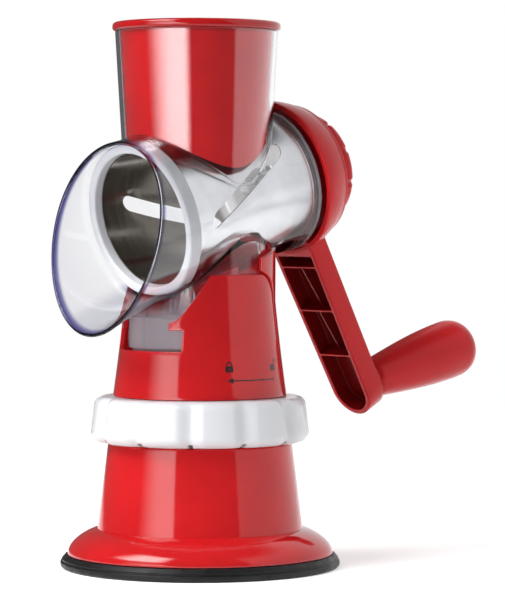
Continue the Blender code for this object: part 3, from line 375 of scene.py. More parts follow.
def plug(low: float, high: float, radius: float, axis: Axis, steps: int) -> Part:
    """A plain round bar between two places along a frame, used to cut with."""
    return lathe(np.array([(0.0, low), (radius, low), (radius, high), (0.0, high)]), axis, steps)


def box(low: Triple, high: Triple, axis: Axis = UPRIGHT) -> Part:
    """A plain box between two corners of a frame, used to cut with."""
    a, b, c = np.meshgrid(*np.stack([low, high], 1), indexing="ij")
    faces = np.array([[0, 1, 3, 2], [4, 6, 7, 5], [0, 4, 5, 1], [2, 3, 7, 6], [0, 2, 6, 4],
                      [1, 5, 7, 3]])
    return axis.at(a.ravel(), b.ravel(), c.ravel()), faces


@dataclass
class Relief:
    """Walls and skins drawn on a flat sheet (a, b, depth) and laid on a surface.

    Outer loops run anticlockwise and holes clockwise, so that the material is on the left.
    """

    place: Place
    parts: list[Part] = field(default_factory=list)

    def wall(self, loop: Array, steps: Sequence[Pair]) -> None:
        """Adds a wall that follows a loop: each step is an inset of the loop and its depth."""
        rows = [self.place(*inset(loop, shift).T, np.full(len(loop), depth)) for shift, depth in steps]
        self.parts.append(grid(np.stack(rows), False, True))

    def skin(self, loops: Sequence[Array], depth: float, spacing: float) -> None:
        """Adds a skin between loops: Delaunay triangles on the loops and an even grid inside them.

        Args:
            loops: Outer loop first, then any holes.
            depth: The skin's depth.
            spacing: Distance between the grid's points.
        """
        edge = np.concatenate(loops)
        low, high = edge.min(0), edge.max(0)
        a, b = np.meshgrid(*[np.arange(low[i] + spacing / 2, high[i], spacing) for i in (0, 1)])
        dots = np.stack([a.ravel(), b.ravel()], 1)
        dots = dots[inside(dots, loops)]
        dots = dots[clearance(dots, loops) > 0.55 * spacing] if len(dots) else dots
        first = np.cumsum([0] + [len(loop) for loop in loops])
        edges = [(start + i, start + (i + 1) % len(loop)) for start, loop in zip(first.tolist(), loops)
                 for i in range(len(loop))]
        flat = np.concatenate([edge, dots]) * MILLI
        found = delaunay_2d_cdt([Vector(p) for p in flat.tolist()], edges, [], 0, 1e-6)
        points = np.array([tuple(p) for p in found[0]]) / MILLI
        triangles = np.array([face for face in found[2] if len(face) == 3])
        fixed = np.array([edge for edge, made_of in zip(found[1], found[4]) if len(made_of)])
        triangles = triangles[within(points, triangles, fixed, loops)]
        self.parts.append((self.place(*points.T, np.full(len(points), depth)), triangles))

    def slab(self, loops: Sequence[Array], thickness: float, lip: float, spacing: float,
             steps: int = 4) -> None:
        """Adds a closed slab with rounded edges: two skins and a wall round each loop."""
        for loop in loops:
            self.wall(loop, brim(lip, steps) + heel(lip, thickness, steps))
        for depth in (0.0, thickness):
            self.skin([inset(loop, lip) for loop in loops], depth, spacing)


# Meshes and objects


def crease(mesh: bpy.types.Mesh, sharp: float) -> None:
    """Shades a mesh smooth but for edges past an angle in degrees."""
    mesh.shade_smooth()
    mesh.set_sharp_from_angle(angle=math.radians(sharp))


def solid(name: str, *parts: Part, merge: float = 2e-6, sharp: float = 35.0) -> Thing:
    """Makes one object of several surfaces: doubles merged, faces out, smooth but for sharp edges.

    Args:
        name: The object's name.
        parts: Points and faces of each surface.
        merge: Points closer than this become one.
        sharp: Angle in degrees past which an edge stays sharp.

    Returns:
        The object, linked to the scene.
    """
    first = np.cumsum([0] + [len(points) for points, _ in parts])
    faces = [face for start, part in zip(first, parts) for face in (part[1] + start).tolist()]
    mesh = bpy.data.meshes.new(name)
    mesh.from_pydata(np.concatenate([points for points, _ in parts]).tolist(), [], faces)
    bm = bmesh.new()
    bm.from_mesh(mesh)
    bmesh.ops.remove_doubles(bm, verts=bm.verts, dist=merge)
    bmesh.ops.recalc_face_normals(bm, faces=bm.faces)
    bm.to_mesh(mesh)
    bm.free()
    crease(mesh, sharp)
    thing = bpy.data.objects.new(name, mesh)
    bpy.context.scene.collection.objects.link(thing)
    return thing


class Join(Enum):
    """How a helper changes a solid."""

    ADD = "UNION"
    CUT = "DIFFERENCE"
    KEEP = "INTERSECT"


def combine(base: Thing, *steps: tuple[Join, Thing], sharp: float = 30.0) -> Thing:
    """Joins or cuts helpers into a solid one after another, and removes them.

    Args:
        base: The solid that is changed.
        steps: What is done with each helper.
        sharp: Angle in degrees past which an edge stays sharp.

    Returns:
        The same solid.
    """
    for how, helper in steps:
        modifier = base.modifiers.new(how.name, "BOOLEAN")
        modifier.operation, modifier.solver, modifier.object = how.value, "MANIFOLD", helper
    graph = bpy.context.evaluated_depsgraph_get()
    graph.update()
    made = bpy.data.meshes.new_from_object(base.evaluated_get(graph))
    base.modifiers.clear()
    base.data = made
    for _, helper in steps:
        bpy.data.objects.remove(helper)
    crease(made, sharp)
    return base


def read(thing: Thing, name: str = "co") -> Array:
    """Positions, or normals, of an object's points as rows of three."""
    values = np.zeros(len(thing.data.vertices) * 3)
    thing.data.vertices.foreach_get(name, values)
    return values.reshape(-1, 3)


def shade(thing: Thing, name: str, values: Array) -> None:
    """Stores one number from 0 to 1 for each point, which a finish reads by its name."""
    layer = thing.data.attributes.new(name, "FLOAT", "POINT")
    layer.data.foreach_set("value", np.clip(values, 0.0, 1.0).astype(np.float32))


# Finishes


class Nodes:
    """Adds nodes to a shader tree and joins them."""

    def __init__(self, tree: bpy.types.NodeTree) -> None:
        """Takes the tree."""
        self.nodes, self.links = tree.nodes, tree.links

    def fill(self, node: bpy.types.Node, sockets: dict[str | int, Socket | float | tuple]) -> None:
        """Joins a node's sockets to others or sets them to numbers."""
        for name, value in sockets.items():
            if isinstance(value, Socket):
                self.links.new(value, node.inputs[name])
            else:
                node.inputs[name].default_value = value

    def node(self, kind: str, sockets: dict[str | int, Socket | float | tuple],
             output: str | int = 0, **fields: str) -> Socket:
        """Adds a node.

        Args:
            kind: Its type, without the leading ShaderNode.
            sockets: What its inputs are joined or set to.
            output: Which output is given back.
            fields: Its own settings.

        Returns:
            The output.
        """
        node = self.nodes.new("ShaderNode" + kind)
        for name, value in fields.items():
            setattr(node, name, value)
        self.fill(node, sockets)
        return node.outputs[output]

    def math(self, operation: str, *values: Socket | float) -> Socket:
        """One sum or function of sockets and numbers."""
        return self.node("Math", dict(enumerate(values)), operation=operation)

    def vector(self, operation: str, *values: Socket | Triple) -> Socket:
        """One number that a function of vectors gives."""
        return self.node("VectorMath", dict(enumerate(values)), "Value", operation=operation)

    def step(self, source: Socket, start: Socket | float, end: Socket | float, low: float = 0.0,
             high: float = 1.0) -> Socket:
        """Smooth step of a value from low at start to high at end."""
        sockets = {"Value": source, "From Min": start, "From Max": end, "To Min": low, "To Max": high}
        return self.node("MapRange", sockets, "Result", interpolation_type="SMOOTHSTEP")


class Graph(Nodes):
    """The nodes of a new material round its Principled shader."""

    def __init__(self, name: str) -> None:
        """Starts the material."""
        self.material = bpy.data.materials.new(name)
        self.material.use_nodes = True
        super().__init__(self.material.node_tree)
        self.coords = self.nodes.new("ShaderNodeTexCoord").outputs["Object"]

    def set(self, **sockets: Socket | float | tuple) -> bpy.types.Material:
        """Joins or sets the shader's own sockets; an underscore in a name stands for a space."""
        named = {name.replace("_", " "): value for name, value in sockets.items()}
        self.fill(self.nodes["Principled BSDF"], named)
        return self.material

    def noise(self, scale: float, detail: float = 2.0, vector: Socket | None = None) -> Socket:
        """Noise from 0 to 1 on object coordinates, scale per metre."""
        sockets = {"Scale": scale, "Detail": detail, "Vector": vector or self.coords}
        return self.node("TexNoise", sockets, "Fac")

    def ranged(self, source: Socket, low: float, high: float, start: float = 0.3,
               end: float = 0.7) -> Socket:
        """Maps start..end of a value smoothly to low..high."""
        return self.step(source, start, end, low, high)

    def mixed(self, share: Socket, first: Triple | Socket, second: Triple) -> Socket:
        """A colour between two by a share from 0 to 1."""
        first = first if isinstance(first, Socket) else (*first, 1.0)
        sockets = {"Factor": share, "A": first, "B": (*second, 1.0)}
        return self.node("Mix", sockets, "Result", data_type="RGBA")

    def bump(self, height: Socket, distance: float, **before: Socket) -> Socket:
        """A bump of a real height in metres, on top of another one given as Normal."""
        sockets = {"Height": height, "Distance": distance, "Strength": 1.0, **before}
        return self.node("Bump", sockets, "Normal")

    def attribute(self, name: str) -> Socket:
        """A value that the piece's own mesh carries."""
        return self.node("Attribute", {}, "Fac", attribute_name=name)


def toned(colour: Triple, factor: float) -> Triple:
    """A colour made darker or lighter."""
    return tuple(min(1.0, part * factor) for part in colour)


BLACK = (0.0, 0.0, 0.0)


@dataclass(frozen=True)
class Plastic:
    """Moulded plastic: slow drift of tone, uneven polish and a fine moulded grain.

    Deep is how much of its colour is lost where the deep attribute is set: painted shade where light
    can't reach, and on the pusher cup the darker red of its rim and inside. Inner is painted light:
    how strongly a glow of its colour, standing in for the light that comes in through clear walls,
    shows on walls behind them.
    """

    name: str
    slot: str
    colour: Triple
    drift: float = 0.06
    polish: Pair = (0.10, 0.16)
    grain: float = 0.000004
    flow: float = 0.00003
    ior: float = 1.50
    deep: float = 0.0
    inner: float = 0.0

    def material(self) -> bpy.types.Material:
        """Builds the finish."""
        g = Graph(self.name)
        slow = g.ranged(g.noise(38.0, 3.0), 0.0, 1.0)
        tone = g.mixed(slow, toned(self.colour, 1.0 - self.drift), toned(self.colour, 1.0 + self.drift))
        # painted shade: the colour goes darker by the deep share where the deep attribute is set
        if self.deep > 0.0:
            tone = g.mixed(g.attribute("deep"), tone, toned(self.colour, 1.0 - self.deep))
        # painted light: an emission glow of the colour where the inner attribute is set
        if self.inner > 0.0:
            glow = g.mixed(g.attribute("inner"), BLACK, toned(self.colour, self.inner))
            g.set(Emission_Color=glow, Emission_Strength=1.0)
        soft = g.bump(g.noise(24.0, 1.0), self.flow)
        return g.set(Base_Color=tone, IOR=self.ior,
                     Roughness=g.ranged(g.noise(160.0, 4.0), *self.polish),
                     Normal=g.bump(g.noise(1400.0, 3.0), self.grain, Normal=soft))


@dataclass(frozen=True)
class ClearPlastic:
    """Clear moulding with a cool tint that gathers at edges and grazing walls.

    Three attributes change it: edge brings the deep tint, which is partly the moulding's own and
    partly painted shade standing in for the dark bands that refraction shows at thick rims; haze a
    milky cast that light doesn't pass; and calm lets it bend and mirror less, so that what is behind
    it shows.
    """

    name: str = "clear_moulding"
    slot: str = "clear_plastic"
    face: Triple = (0.985, 0.988, 0.996)
    graze: Triple = (0.45, 0.41, 0.64)
    # deep edge tint: partly the moulding's own, partly painted shade
    edge: Triple = (0.12, 0.11, 0.30)
    milk: Triple = (0.72, 0.66, 0.74)

    def material(self) -> bpy.types.Material:
        """Builds the finish."""
        g = Graph(self.name)
        facing = g.node("LayerWeight", {"Blend": 0.35}, "Facing")
        haze = g.attribute("haze")
        tint = g.mixed(g.ranged(facing, 0.0, 1.0, 0.55, 0.98), self.face, self.graze)
        tint = g.mixed(haze, tint, self.milk)
        # the edge attribute brings the deep tint, partly painted shade
        return g.set(Base_Color=g.mixed(g.attribute("edge"), tint, self.edge),
                     Transmission_Weight=g.step(haze, 0.0, 1.0, 1.0, 0.0),
                     Roughness=g.ranged(g.noise(90.0, 3.0), 0.012, 0.035),
                     IOR=g.step(g.attribute("calm"), 0.0, 1.0, 1.47, 1.10),
                     Normal=g.bump(g.noise(30.0, 2.0), 0.00006))


@dataclass(frozen=True)
class Steel:
    """Stainless sheet brushed round the drum's leaning axis, with faint handling marks.

    Deep is the colour of walls that see little light, and inner the weak glow of those that are
    seen through clear walls.
    """

    name: str
    slot: str = "stainless_steel"
    colour: Triple = (0.74, 0.75, 0.76)
    polish: Pair = (0.14, 0.24)
    lean: float = LAYOUT.tilt - QUARTER
    brush: Triple = (26.0, 26.0, 2600.0)
    deep: Triple = (0.27, 0.25, 0.22)
    inner: Triple = (0.34, 0.34, 0.35)

    def material(self) -> bpy.types.Material:
        """Builds the finish: brush lines are noise on coordinates turned to the axis and squeezed."""
        g = Graph(self.name)
        turned = g.node("Mapping", {"Vector": g.coords, "Rotation": (-self.lean, 0.0, 0.0)})
        lines = g.noise(1.0, 3.0, g.node("Mapping", {"Vector": turned, "Scale": self.brush}))
        smear = g.ranged(g.noise(70.0, 4.0), 0.0, 1.0)
        tone = g.mixed(smear, toned(self.colour, 0.94), toned(self.colour, 1.05))
        # painted shade from the deep attribute and painted light, an emission glow, from the inner
        # attribute
        return g.set(Base_Color=g.mixed(g.attribute("deep"), tone, self.deep), Metallic=1.0,
                     Emission_Color=g.mixed(g.attribute("inner"), BLACK, self.inner),
                     Emission_Strength=1.0, Roughness=g.ranged(lines, *self.polish),
                     Normal=g.bump(lines, 0.000002))


@dataclass(frozen=True)
class Rubber:
    """Soft black rubber: matt, with a fine leathery skin and dusty tone."""

    name: str = "foot_rubber"
    slot: str = "black_rubber"
    colour: Triple = (0.006, 0.006, 0.007)
    dust: Triple = (0.013, 0.013, 0.015)

    def material(self) -> bpy.types.Material:
        """Builds the finish."""
        g = Graph(self.name)
        dust = g.ranged(g.noise(120.0, 5.0), 0.0, 1.0, 0.45, 0.75)
        return g.set(Base_Color=g.mixed(dust, self.colour, self.dust), Specular_IOR_Level=0.3,
                     Roughness=g.ranged(g.noise(300.0, 3.0), 0.34, 0.52),
                     Normal=g.bump(g.noise(1100.0, 4.0), 0.00002))


@dataclass(frozen=True)
class Print:
    """Dark printing ink: thin, slightly worn where it is lightest."""

    name: str = "printed_mark"
    slot: str = "red_plastic"

    def material(self) -> bpy.types.Material:
        """Builds the finish."""
        g = Graph(self.name)
        worn = g.ranged(g.noise(1500.0, 3.0), 0.0, 1.0, 0.5, 0.8)
        return g.set(Base_Color=g.mixed(worn, (0.020, 0.006, 0.006), (0.06, 0.012, 0.012)),
                     Roughness=g.ranged(g.noise(900.0, 2.0), 0.25, 0.4))


class Look(Enum):
    """Every finish on the cutter."""

    # inner: painted light, a glow on the stand's inner walls
    RED = Plastic("red_gloss", "red_plastic", (0.57, 0.011, 0.014), polish=(0.05, 0.09), flow=0.00002,
                  inner=0.5)
    # painted light: the cup's red is lighter to make up for the light that the clear hopper takes; deep
    # paints its rim and inside darker
    RED_CUP = Plastic("red_cup", "red_plastic", (0.93, 0.014, 0.018), polish=(0.05, 0.09), flow=0.00002,
                      deep=0.52)
    # deep: painted shade in the crank arm's channel
    RED_SATIN = Plastic("red_satin", "red_plastic", (0.58, 0.013, 0.017), 0.03, (0.22, 0.26),
                        grain=0.0000012, ior=1.3, deep=0.68)
    # deep: painted shade, used at the foot of the lock ring's nicks
    WHITE = Plastic("white_gloss", "white_plastic", (0.74, 0.75, 0.78), 0.015, (0.18, 0.26), deep=0.92)
    ACETAL = Plastic("acetal", "white_acetal", (0.90, 0.90, 0.88), 0.02, (0.38, 0.5))
    CLEAR = ClearPlastic()
    STEEL = Steel("drum_steel")
    PLAIN_STEEL = Steel("plain_steel", lean=0.0, polish=(0.18, 0.3))
    BRASS = Steel("nut_brass", "brass_nut", (0.72, 0.55, 0.25), (0.24, 0.38), 0.0)
    RUBBER = Rubber()
    PRINT = Print()


MADE: dict[Look, bpy.types.Material] = {}
REPLACED: set[str] = set()


def dress(thing: Thing, look: Look) -> None:
    """Gives an object one finish, made once and shared."""
    if look not in MADE:
        MADE[look] = look.value.material()
    thing.data.materials.clear()
    thing.data.materials.append(MADE[look])


def settle(thing: Thing, body: str, look: Look, *nodes: str) -> None:
    """Dresses a new piece, lets it ride on its body and stand for solids.

    Args:
        thing: The piece.
        body: The body it moves with.
        look: Its finish.
        nodes: The solids it stands for.
    """
    dress(thing, look)
    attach(thing, body)
    if nodes:
        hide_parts(*nodes)
        REPLACED.update(nodes)
    log.info("%s on %s: %d faces", thing.name, body, len(thing.data.polygons))


# Foot and lower stand


@dataclass
class Foot:
    """Rubber pad with its moulded lip, and the flared lower stand with the neck."""

    pad_radius: float = 0.068
    flange_radius: float = 0.0646
    flange_low: float = 0.0067
    dome_foot: float = 0.0072
    cone_low: float = 0.0189
    foot_radius: float = 0.050
    shoulder_radius: float = 0.0447
    shoulder: float = 0.0607
    wall: float = 0.002
    neck_radius: float = 0.040
    neck_bore: float = 0.0373
    ledge_bore: float = 0.033
    ledge_low: float = 0.0813
    neck_top: float = 0.091
    web: Pair = (0.045, 0.048)
    guide: Pair = (0.029167, 0.055167)
    guide_radius: float = 0.008
    guide_bore: float = 0.0043
    slot_low: Triple = (0.035, -0.0025, 0.0675)
    slot_high: Triple = (0.042, 0.0025, 0.0755)
    screw_circle: float = 0.03565
    screw_bore: float = 0.0017
    screw_heights: Pair = (0.080, 0.092)
    screw_angles: tuple[float, ...] = (52.0, 308.0, 150.0, 210.0)

    def pad(self) -> Part:
        """The pad's section: flat below, a bulged side with a groove under its bevelled lip."""
        r = self.pad_radius
        return lathe(rounded([
            (0.0, 0.0), (r - 0.0010, 0.0, 0.0006), (r, 0.0012, 0.0008), (r, 0.0030, 0.0005),
            (r - 0.0008, 0.0035, 0.0002), (r - 0.0009, 0.0039, 0.0002), (r - 0.0007, 0.0043, 0.0002),
            (r - 0.0024, 0.0063, 0.0006), (r - 0.0040, 0.0064, 0.0004), (r - 0.0115, 0.0064, 0.0003),
            (r - 0.0127, 0.0040, 0.0004), (0.0, 0.0040)]), UPRIGHT, 256)

    def cone(self, z: float) -> float:
        """Radius of the lower stand's cone at a height."""
        share = (z - self.cone_low) / (self.shoulder - self.cone_low)
        return self.foot_radius + (self.shoulder_radius - self.foot_radius) * share

    def dome(self, cut: float, angles: Array) -> Array:
        """The flare: radius grows as cos^1.5 and height as sin^1.15 of one angle."""
        run, rise = self.flange_radius - self.foot_radius - cut, self.cone_low - self.dome_foot - cut
        r = self.foot_radius + run * np.maximum(np.cos(angles), 0.0) ** 1.5
        return np.stack([r, self.dome_foot + rise * np.sin(angles) ** 1.15], 1)

    def stand(self) -> Part:
        """The lower stand's section, outside first, then over the neck and down inside."""
        w, rim = self.wall, self.flange_radius
        crown = self.cone(self.shoulder)
        angles = np.radians(np.linspace(2.0, 88.0, 30))
        neck = rounded([
            (self.foot_radius, self.cone_low), (crown, self.shoulder, 0.0012),
            (self.neck_radius, self.shoulder), (self.neck_radius, self.neck_top, 0.0004),
            (self.ledge_bore, self.neck_top),
            (self.ledge_bore, self.ledge_low), (self.neck_bore, self.ledge_low),
            (self.neck_bore, self.shoulder - w), (crown - w, self.shoulder - w),
            (self.cone(self.web[1]) - w, self.web[1]), (self.guide_radius, self.web[1]),
            (self.guide_radius, self.guide[1], 0.0005), (self.guide_bore, self.guide[1]),
            (self.guide_bore, self.guide[0]), (self.guide_radius, self.guide[0], 0.0005),
            (self.guide_radius, self.web[0]), (self.cone(self.web[0]) - w, self.web[0]),
            (self.cone(self.cone_low) - w, self.cone_low)])
        outer = [(rim, self.flange_low), (rim, self.dome_foot)]
        inner = [(rim - w, self.dome_foot), (rim - w, self.flange_low)]
        rows = [outer, self.dome(0.0, angles), neck, self.dome(w, angles[::-3]), inner]
        return lathe(np.concatenate(rows), UPRIGHT, 256)

    def build(self) -> None:
        """Makes the pad and the lower stand, with the pins' slots and the screws' holes."""
        settle(solid("suction_foot", self.pad()), "stand", Look.RUBBER, "suction_pad")
        stand = solid("flared_stand", self.stand())
        cutters = []
        for turn in around(3).ravel():
            c, s = math.cos(turn), math.sin(turn)
            spoke = Axis((0.0, 0.0, 0.0), (c, s, 0.0), (-s, c, 0.0))
            cutters.append(box(self.slot_low, self.slot_high, spoke))
        for a in np.radians(self.screw_angles):
            x, y = self.screw_circle * math.sin(a), self.screw_circle * math.cos(a)
            cutters.append(plug(*self.screw_heights, self.screw_bore, UPRIGHT.shifted(x, y, 0.0), 24))
        combine(stand, (Join.CUT, solid("openings", *cutters)))
        settle(stand, "stand", Look.RED, "lower_stand")


# Lock ring


@dataclass
class LockRing:
    """White ring with soft lobes, moulded nicks at the foot of its valleys and cams inside."""

    low: float = 0.061
    height: float = 0.022
    radius: float = 0.0531
    taper: float = 0.0016
    soft: float = 0.0046
    lobes: int = 12
    notch: float = 0.0022
    valley: float = 0.26
    nick_half: float = 0.0013
    nick_edge: float = 0.0003
    nick_rise: float = 0.0017
    nick_back: float = 0.0013
    side: Triple = (0.0052, 0.011, 0.0166)
    tolerance: float = 0.0001
    bore: float = 0.0404
    channel: float = 0.0456
    web: Pair = (0.0035, 0.004)
    cams: int = 3
    cam_low: float = 0.0065
    cam_rise: float = 0.003
    cam_turn: float = math.radians(45.0)
    cam_rest: float = math.radians(16.0)

    def away(self, angle: Array) -> Array:
        """Share of a lobe between each angle and the middle of the nearest valley."""
        return np.abs(angle * self.lobes / TURN % 1.0 - 0.5)

    def surface(self) -> Part:
        """Section carried round the ring: the valleys draw its outer side in by a smooth step."""
        t = around(432)
        s, top, third = self.soft, self.height, TURN / self.cams
        away = self.away(t)
        outer = self.radius - self.notch * smooth(1.0 - ramp(away, 0.0, self.valley))
        full = self.cam_turn + self.cam_rest
        climb = np.interp(t * self.cams / TURN % 1.0 * third,
                          [0.0, self.cam_turn, full, third - self.cam_rest, third],
                          [0.0, 1.0, 1.0, 0.0, 0.0])
        ledge = self.cam_low + self.cam_rise * climb
        away = away * self.radius * TURN / self.lobes
        nick = self.nick_rise * (1.0 - ramp(away, self.nick_half - self.nick_edge, self.nick_edge))
        k = np.linspace(0.0, QUARTER, 9)[None]
        side, back = np.array([self.side]), outer - s - self.nick_back
        blocks = [(self.bore, 0.0), (back - self.tolerance, 0.0), (back, nick),
                  (outer - s + s * np.sin(k), np.maximum(s - s * np.cos(k), nick)),
                  (outer - self.taper * (side - s) / (top - 2.0 * s), side),
                  (outer - self.taper - s + s * np.cos(k), top - s + s * np.sin(k)), (self.bore, top),
                  (self.bore, top - self.web[0]), (self.channel, top - self.web[1]),
                  (self.channel, ledge), (self.bore, ledge)]
        r, z = (np.concatenate([block[i] * np.ones_like(t) for block in blocks], 1) for i in (0, 1))
        return grid(UPRIGHT.at(r * np.cos(t), -r * np.sin(t), z + self.low), True, True)

    def build(self) -> None:
        """Makes the ring; the foot of each nick is darkened with painted shade."""
        thing = solid("lobed_ring", self.surface(), sharp=50.0)
        x, y, z = read(thing).T
        away = self.away(np.arctan2(y, x)) * self.radius * TURN / self.lobes
        inner = self.radius - self.notch - self.soft - self.nick_back - 3.0 * self.tolerance
        low = z < self.low + self.nick_rise + self.tolerance
        # painted shade: the deep attribute darkens the foot of each nick
        shade(thing, "deep", (away < self.nick_half - self.tolerance) & low & (np.hypot(x, y) > inner))
        settle(thing, "ring", Look.WHITE, "lock_ring")


# Upper stand, rear post and the printed marks


@dataclass
class UpperStand:
    """Front shell with saddle and window, and the rear post behind the seam."""

    wall: float = 0.002
    lip: float = 0.00035
    spacing: float = 0.0014
    neck_clear: float = 0.0403
    floor: Pair = (0.0913, 0.0937)
    floor_radius: float = 0.0394
    floor_hole: float = 0.006
    floor_lip: float = 0.0002
    floor_spacing: float = 0.003
    seam_back: float = 0.0237
    seam_lean: float = 0.068
    seam_gap: float = 0.0006
    corner_rise: float = 0.0127
    corner_depth: float = 0.0100
    saddle_half: float = 0.0303
    saddle_low: float = 0.1198
    saddle_curve: float = 1.9
    slot_half: float = 0.0172
    window_half: float = 0.0235
    window: Pair = (0.1061, 0.1162)
    post_radius: float = 0.0367
    post_top: float = 0.1504
    post_front: float = 0.0092
    post_shoulder: float = 0.1442
    chamber_guard: float = 0.03596
    lit: Pair = (0.112, 0.034)
    lit_least: float = 0.35

    def rear_radius(self, z: Array) -> Array:
        """Outer radius of the rear post, which stays wide enough for the chamber at the top."""
        return np.maximum(LAYOUT.stand_radius(z), self.post_radius)

    def place(self, radius: Callable[[Array], Array]) -> Place:
        """Lays a sheet of arc length, height and depth on the stand's wall."""
        def laid(a: Array, z: Array, depth: Array) -> Array:
            outer = radius(z)
            thin = np.where(z < self.floor[0] + 0.0002, outer - self.neck_clear, self.wall)
            return wrapped(a, z, outer - depth * thin / self.wall)
        return laid

    def from_back(self, y: Array, z: Array, radius: Callable[[Array], Array]) -> Array:
        """Sheet points at given distances behind the axis, on the right side."""
        return np.stack([LAYOUT.sheet * np.arccos(np.clip(-y / radius(z), -1.0, 1.0)), z], 1)

    def from_side(self, x: Array, z: Array) -> Array:
        """Sheet points of the front shell at given distances across, on the right side."""
        angle = np.arcsin(np.clip(x / LAYOUT.stand_radius(z), -1.0, 1.0))
        return np.stack([LAYOUT.sheet * angle, z], 1)

    def seam(self, gap: float, last: float) -> tuple[Array, Array]:
        """The seam from the foot up and round its top corner, as distances back and heights."""
        high = LAYOUT.stand_top - self.corner_rise
        z = np.linspace(LAYOUT.upper_low, high, 47)
        y = self.seam_back - self.seam_lean * (z - LAYOUT.upper_low)
        k = np.radians(np.linspace(0.0, last, 20))[1:]
        round_y = y[-1] - self.corner_depth + (self.corner_depth + gap) * np.cos(k)
        round_z = high + (self.corner_rise + gap) * np.sin(k)
        return np.concatenate([y + gap, round_y]), np.concatenate([z, round_z])

    def shell_outline(self) -> Array:
        """Outline of the front shell on its sheet."""
        seam = self.from_back(*self.seam(0.0, 90.0), LAYOUT.stand_radius)
        top, (sill, lintel) = LAYOUT.stand_top, self.window
        edge = self.from_side(np.array([self.saddle_half]), np.array([top]))[0]
        share = np.linspace(1.0, 0.0, 40)
        saddle = self.from_side(self.slot_half + (self.saddle_half - self.slot_half) * share,
                                self.saddle_low + (top - self.saddle_low) * share ** self.saddle_curve)
        corners = [(self.slot_half, self.saddle_low), (self.slot_half, lintel),
                   (self.window_half, lintel), (self.window_half, sill), (0.0, sill)]
        opening = np.concatenate([line(p, q) for p, q in zip(corners, corners[1:])])[1:]
        right = np.concatenate([seam, line(seam[-1], edge)[1:], saddle, self.from_side(*opening.T)])
        bottom = line(seam[0] * (-1.0, 1.0), seam[0])[1:]
        return np.concatenate([bottom, right, [(0.0, sill)], right[::-1] * (-1.0, 1.0)])

    def post_outline(self) -> Array:
        """Outline of the rear post on its sheet; its top edge follows the chamber and a slope."""
        front = self.from_back(*self.seam(self.seam_gap, 80.0), self.rear_radius)
        y, z = np.array([self.post_front]), np.array([self.post_shoulder])
        low = self.from_back(y, z, self.rear_radius)[0]
        angle = np.linspace(low[0] / LAYOUT.sheet, math.pi, 70)
        r = self.rear_radius(self.post_top)
        x, back = r * np.sin(angle), -r * np.cos(angle)
        slope = self.post_top + (back - self.post_front) * math.tan(LAYOUT.tilt)
        under = LAYOUT.cylinder_height(x, back, self.chamber_guard, -1.0)
        under = np.where(np.abs(x) < self.chamber_guard, under, 1.0)
        top = np.stack([LAYOUT.sheet * angle, np.minimum(slope, under)], 1)
        half = np.concatenate([front, line(low, top[0]), top])
        mirror = half[::-1][1:] * (-1.0, 1.0) + (TURN * LAYOUT.sheet, 0.0)
        return np.concatenate([half, mirror, line(mirror[-1], half[0])[1:]])[::-1]

    def floor_plate(self, front: bool) -> list[Part]:
        """Half of the stand's floor: a disc split along the seam, with a hole in its front half."""
        low, high = self.floor
        split = self.seam_back - self.seam_lean * ((low + high) / 2.0 - LAYOUT.upper_low)
        reach = math.acos((split if front else split + self.seam_gap) / self.floor_radius)
        angles = np.linspace(reach, TURN - reach, 90) if front else np.linspace(-reach, reach, 50)
        rim = self.floor_radius * np.stack([np.sin(angles), np.cos(angles)], 1)[::-1]
        loops = [np.concatenate([rim, line(rim[-1], rim[0])[1:]]), circle(self.floor_hole, 40)[::-1]]
        relief = Relief(lambda a, b, depth: UPRIGHT.at(a, -b, high - depth))
        relief.slab(loops if front else loops[:1], high - low, self.floor_lip, self.floor_spacing, 2)
        return relief.parts

    def shell(self, name: str, node: str, radius: Callable[[Array], Array], outline: Array,
              front: bool) -> None:
        """Makes one shell with its floor; its inner wall gets painted light, a glow that grows with
        height.

        Args:
            name: The piece's name.
            node: The solid it stands for.
            radius: Outer radius at a height.
            outline: Its outline on the sheet.
            front: Whether it is the front one.
        """
        relief = Relief(self.place(radius))
        relief.slab([outline], self.wall, self.lip, self.spacing)
        thing = solid(name, *relief.parts, *self.floor_plate(front))
        (x, y, z), (side, rise, _) = read(thing).T, read(thing, "normal").T
        facing = (x * side + y * rise) / np.hypot(x, y)
        # painted light: the inner attribute makes the inner wall glow, more the higher it stands
        light = self.lit_least + (1.0 - self.lit_least) * ramp(z, *self.lit)
        shade(thing, "inner", light * (facing < -0.5))
        settle(thing, "stand", Look.RED, node)

    def build(self) -> None:
        """Makes both shells."""
        self.shell("front_shell", "upper_stand", LAYOUT.stand_radius, self.shell_outline(), True)
        self.shell("back_post", "rear_post", self.rear_radius, self.post_outline(), False)


